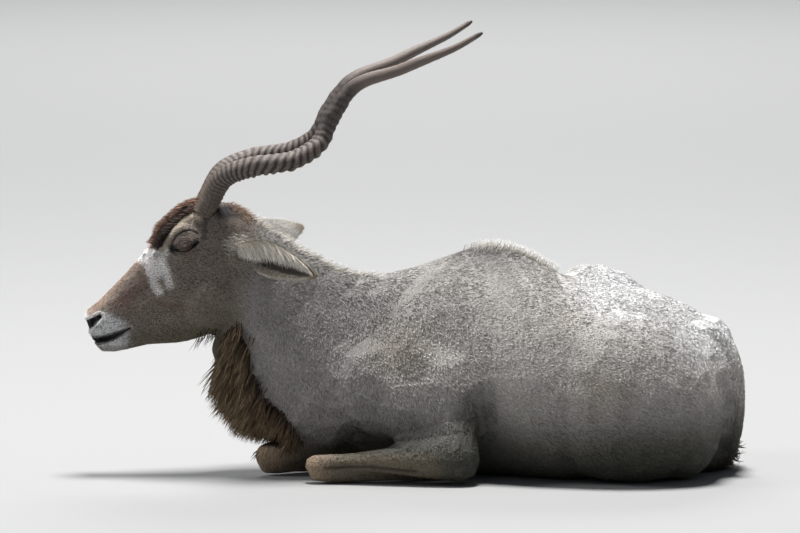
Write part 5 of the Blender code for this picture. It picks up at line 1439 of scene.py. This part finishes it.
def grain_group():
    """Fine grain for every finish that has it, as a value and as a bumped normal."""
    group = bpy.data.node_groups.new("grain", "ShaderNodeTree")
    group.interface.new_socket(name="Place", in_out="INPUT", socket_type="NodeSocketVector")
    for name in ("Scale", "Detail", "Strength", "Depth"):
        group.interface.new_socket(name=name, in_out="INPUT", socket_type="NodeSocketFloat")
    group.interface.new_socket(name="Value", in_out="OUTPUT", socket_type="NodeSocketFloat")
    group.interface.new_socket(name="Normal", in_out="OUTPUT", socket_type="NodeSocketVector")
    enter = group.nodes.new("NodeGroupInput")
    noise = group.nodes.new("ShaderNodeTexNoise")
    bump = group.nodes.new("ShaderNodeBump")
    leave = group.nodes.new("NodeGroupOutput")
    group.links.new(enter.outputs["Place"], noise.inputs["Vector"])
    group.links.new(enter.outputs["Scale"], noise.inputs["Scale"])
    group.links.new(enter.outputs["Detail"], noise.inputs["Detail"])
    group.links.new(enter.outputs["Strength"], bump.inputs["Strength"])
    group.links.new(enter.outputs["Depth"], bump.inputs["Distance"])
    group.links.new(noise.outputs["Fac"], bump.inputs["Height"])
    group.links.new(noise.outputs["Fac"], leave.inputs["Value"])
    group.links.new(bump.outputs["Normal"], leave.inputs["Normal"])
    return group


def new_material(name, roughness):
    """A plain material, with its node tree and its shader."""
    made = bpy.data.materials.new(name)
    made.use_nodes = True
    shader = made.node_tree.nodes["Principled BSDF"]
    shader.inputs["Roughness"].default_value = roughness
    return made, made.node_tree, shader


def toned(name, roughness):
    """A material in the piece's own tones."""
    made, tree, shader = new_material(name, roughness)
    tone = tree.nodes.new("ShaderNodeAttribute")
    tone.attribute_name = "tone"
    tree.links.new(tone.outputs["Color"], shader.inputs["Base Color"])
    return made, tree, shader, tone


def grained(name, roughness, scale, strength, depth):
    """A material in the piece's own tones, with a fine grain."""
    made, tree, shader, tone = toned(name, roughness)
    place = tree.nodes.new("ShaderNodeTexCoord")
    grain = tree.nodes.new("ShaderNodeGroup")
    grain.node_tree = GRAIN
    for socket, value in (("Scale", scale), ("Detail", 2.0), ("Strength", strength), ("Depth", depth)):
        grain.inputs[socket].default_value = value
    tree.links.new(place.outputs["Object"], grain.inputs["Place"])
    tree.links.new(grain.outputs["Normal"], shader.inputs["Normal"])
    return made, tree, shader, tone, grain


def coat_finish():
    """Each hair's own tone, with a soft sheen."""
    made, _, shader, _ = toned("coat_hair", 0.62)
    shader.inputs["Specular IOR Level"].default_value = 0.25
    return made


def hide_finish():
    """The coat's tones darkened in fine flecks as painted shade between the hairs, and a grain like short
    hair.
    """
    made, tree, shader, tone, grain = grained("hide", 0.75, 420, 0.6, 0.001)
    # painted shade between the hairs: the hide's tone scaled to between 0.35 and 0.85 of itself by the grain
    shade = tree.nodes.new("ShaderNodeMapRange")
    for socket, value in (("From Min", 0.35), ("From Max", 0.65), ("To Min", 0.35), ("To Max", 0.85)):
        shade.inputs[socket].default_value = value
    tree.links.new(grain.outputs["Value"], shade.inputs["Value"])
    shaded_between_hairs = tree.nodes.new("ShaderNodeVectorMath")
    shaded_between_hairs.operation = "SCALE"
    tree.links.new(tone.outputs["Color"], shaded_between_hairs.inputs[0])
    tree.links.new(shade.outputs["Result"], shaded_between_hairs.inputs["Scale"])
    tree.links.new(shaded_between_hairs.outputs["Vector"], shader.inputs["Base Color"])
    return made


GRAIN = grain_group()
COAT = coat_finish()
HIDE = hide_finish()
HORN = grained("horn", 0.62, 900, 0.5, 0.0006)[0]
HOOF = grained("hoof", 0.45, 700, 0.5, 0.0003)[0]
EYE = toned("eye", 0.06)[0]


# Studio: floor, light and camera

CAMERA_DISTANCE = 12.0
CAMERA_LENS = 270.0
CAMERA_RISE = math.radians(6.0)
CAMERA_TARGET = Vector((-0.030, 0.0, 0.417))
FLOOR_HALF = 40.0
FLOOR_GREY = (0.30, 0.30, 0.296, 1)
SKY, SKY_STRENGTH = (0.80, 0.86, 1.0, 1), 0.16
LAMPS = {      # place, size, power and target: overhead, beside the head, in front, and on the floor behind
    "overhead": ((0.2, 0.3, 9.0), 2.6, 1650, (0.05, 0, 0.2)),
    "left": ((-6.5, -0.8, 4.0), 2.0, 190, (-0.45, 0, 0.3)),
    "fill": ((-3.0, -7.5, 3.0), 3.0, 12, (0.0, 0, 0.3)),
    "backdrop": ((0.0, 13.0, 9.0), 10.0, 1900, (0.0, 13.0, 0.0)),
}


def aimed(obj, place, target):
    """Puts a lamp or the camera at its place, pointing at a target."""
    obj.location = place
    obj.rotation_euler = (target - place).to_track_quat("-Z", "Y").to_euler()


def camera():
    """The photograph's view: the animal's left side, from a little above."""
    view = bpy.data.cameras.new("camera")
    view.lens = CAMERA_LENS
    view.sensor_width = 36.0
    view.clip_end = 200.0
    made = bpy.data.objects.new("camera", view)
    bpy.context.scene.collection.objects.link(made)
    target = CAMERA_TARGET + Vector((SHIFT.x, SHIFT.y, 0))
    back = Vector((0, -math.cos(CAMERA_RISE), math.sin(CAMERA_RISE)))
    aimed(made, target + back * CAMERA_DISTANCE, target)
    bpy.context.scene.camera = made


def lamp(name, place, size, power, target):
    """A round soft lamp that the camera doesn't see."""
    light = bpy.data.lights.new(name, "AREA")
    light.shape = "DISK"
    light.size = size
    light.energy = power
    made = bpy.data.objects.new(name, light)
    made.visible_camera = False
    bpy.context.scene.collection.objects.link(made)
    aimed(made, Vector(place), Vector(target))


def studio():
    """A pale floor in soft light."""
    for name, settings in LAMPS.items():
        lamp(name, *settings)
    world = bpy.data.worlds.new("studio")
    bpy.context.scene.world = world
    world.use_nodes = True
    world.node_tree.nodes["Background"].inputs["Color"].default_value = SKY
    world.node_tree.nodes["Background"].inputs["Strength"].default_value = SKY_STRENGTH
    bpy.ops.object.select_all(action="DESELECT")
    bpy.ops.mesh.primitive_plane_add(size=2 * FLOOR_HALF, location=(0, 0, -0.0005))
    floor = bpy.context.active_object
    floor.name = "floor"
    made, _, shader = new_material("floor", 0.9)
    shader.inputs["Base Color"].default_value = FLOOR_GREY
    floor.data.materials.append(made)
    bpy.context.scene.view_settings.view_transform = "Standard"


def finished_hide():
    """The hide with its UV map, its markings and its finish, in place of all the flesh."""
    skin = hide()
    pick(skin)
    bpy.ops.object.mode_set(mode="EDIT")
    bpy.ops.mesh.select_all(action="SELECT")
    bpy.ops.uv.smart_project(angle_limit=math.radians(66), island_margin=0.0)
    bpy.ops.object.mode_set(mode="OBJECT")
    skin.data.uv_layers.active.name = "OFBake"
    skin.data.materials.clear()
    skin.data.materials.append(HIDE)
    paint(skin, markings(read_points(skin)))
    bpy.ops.object.shade_smooth()
    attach(skin, "root")
    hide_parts(*FLESH)
    return skin


def dress():
    """The whole animal: hide, coat, long hair, hooves, eyes, horns and ears."""
    ground = Ground(finished_hide())
    coat(ground)
    throat_mane(ground)
    forelock_hair(ground)
    other_long_hair(ground)
    for node in HOOVES:
        hoof(node)
    eye("eye_left", 1)
    eye("eye_right", -1)
    horn("horn_left", 1.0, False)
    horn("horn_right", 0.97, True)
    ear("ear_left")
    ear("ear_right")


camera()
studio()
dress()
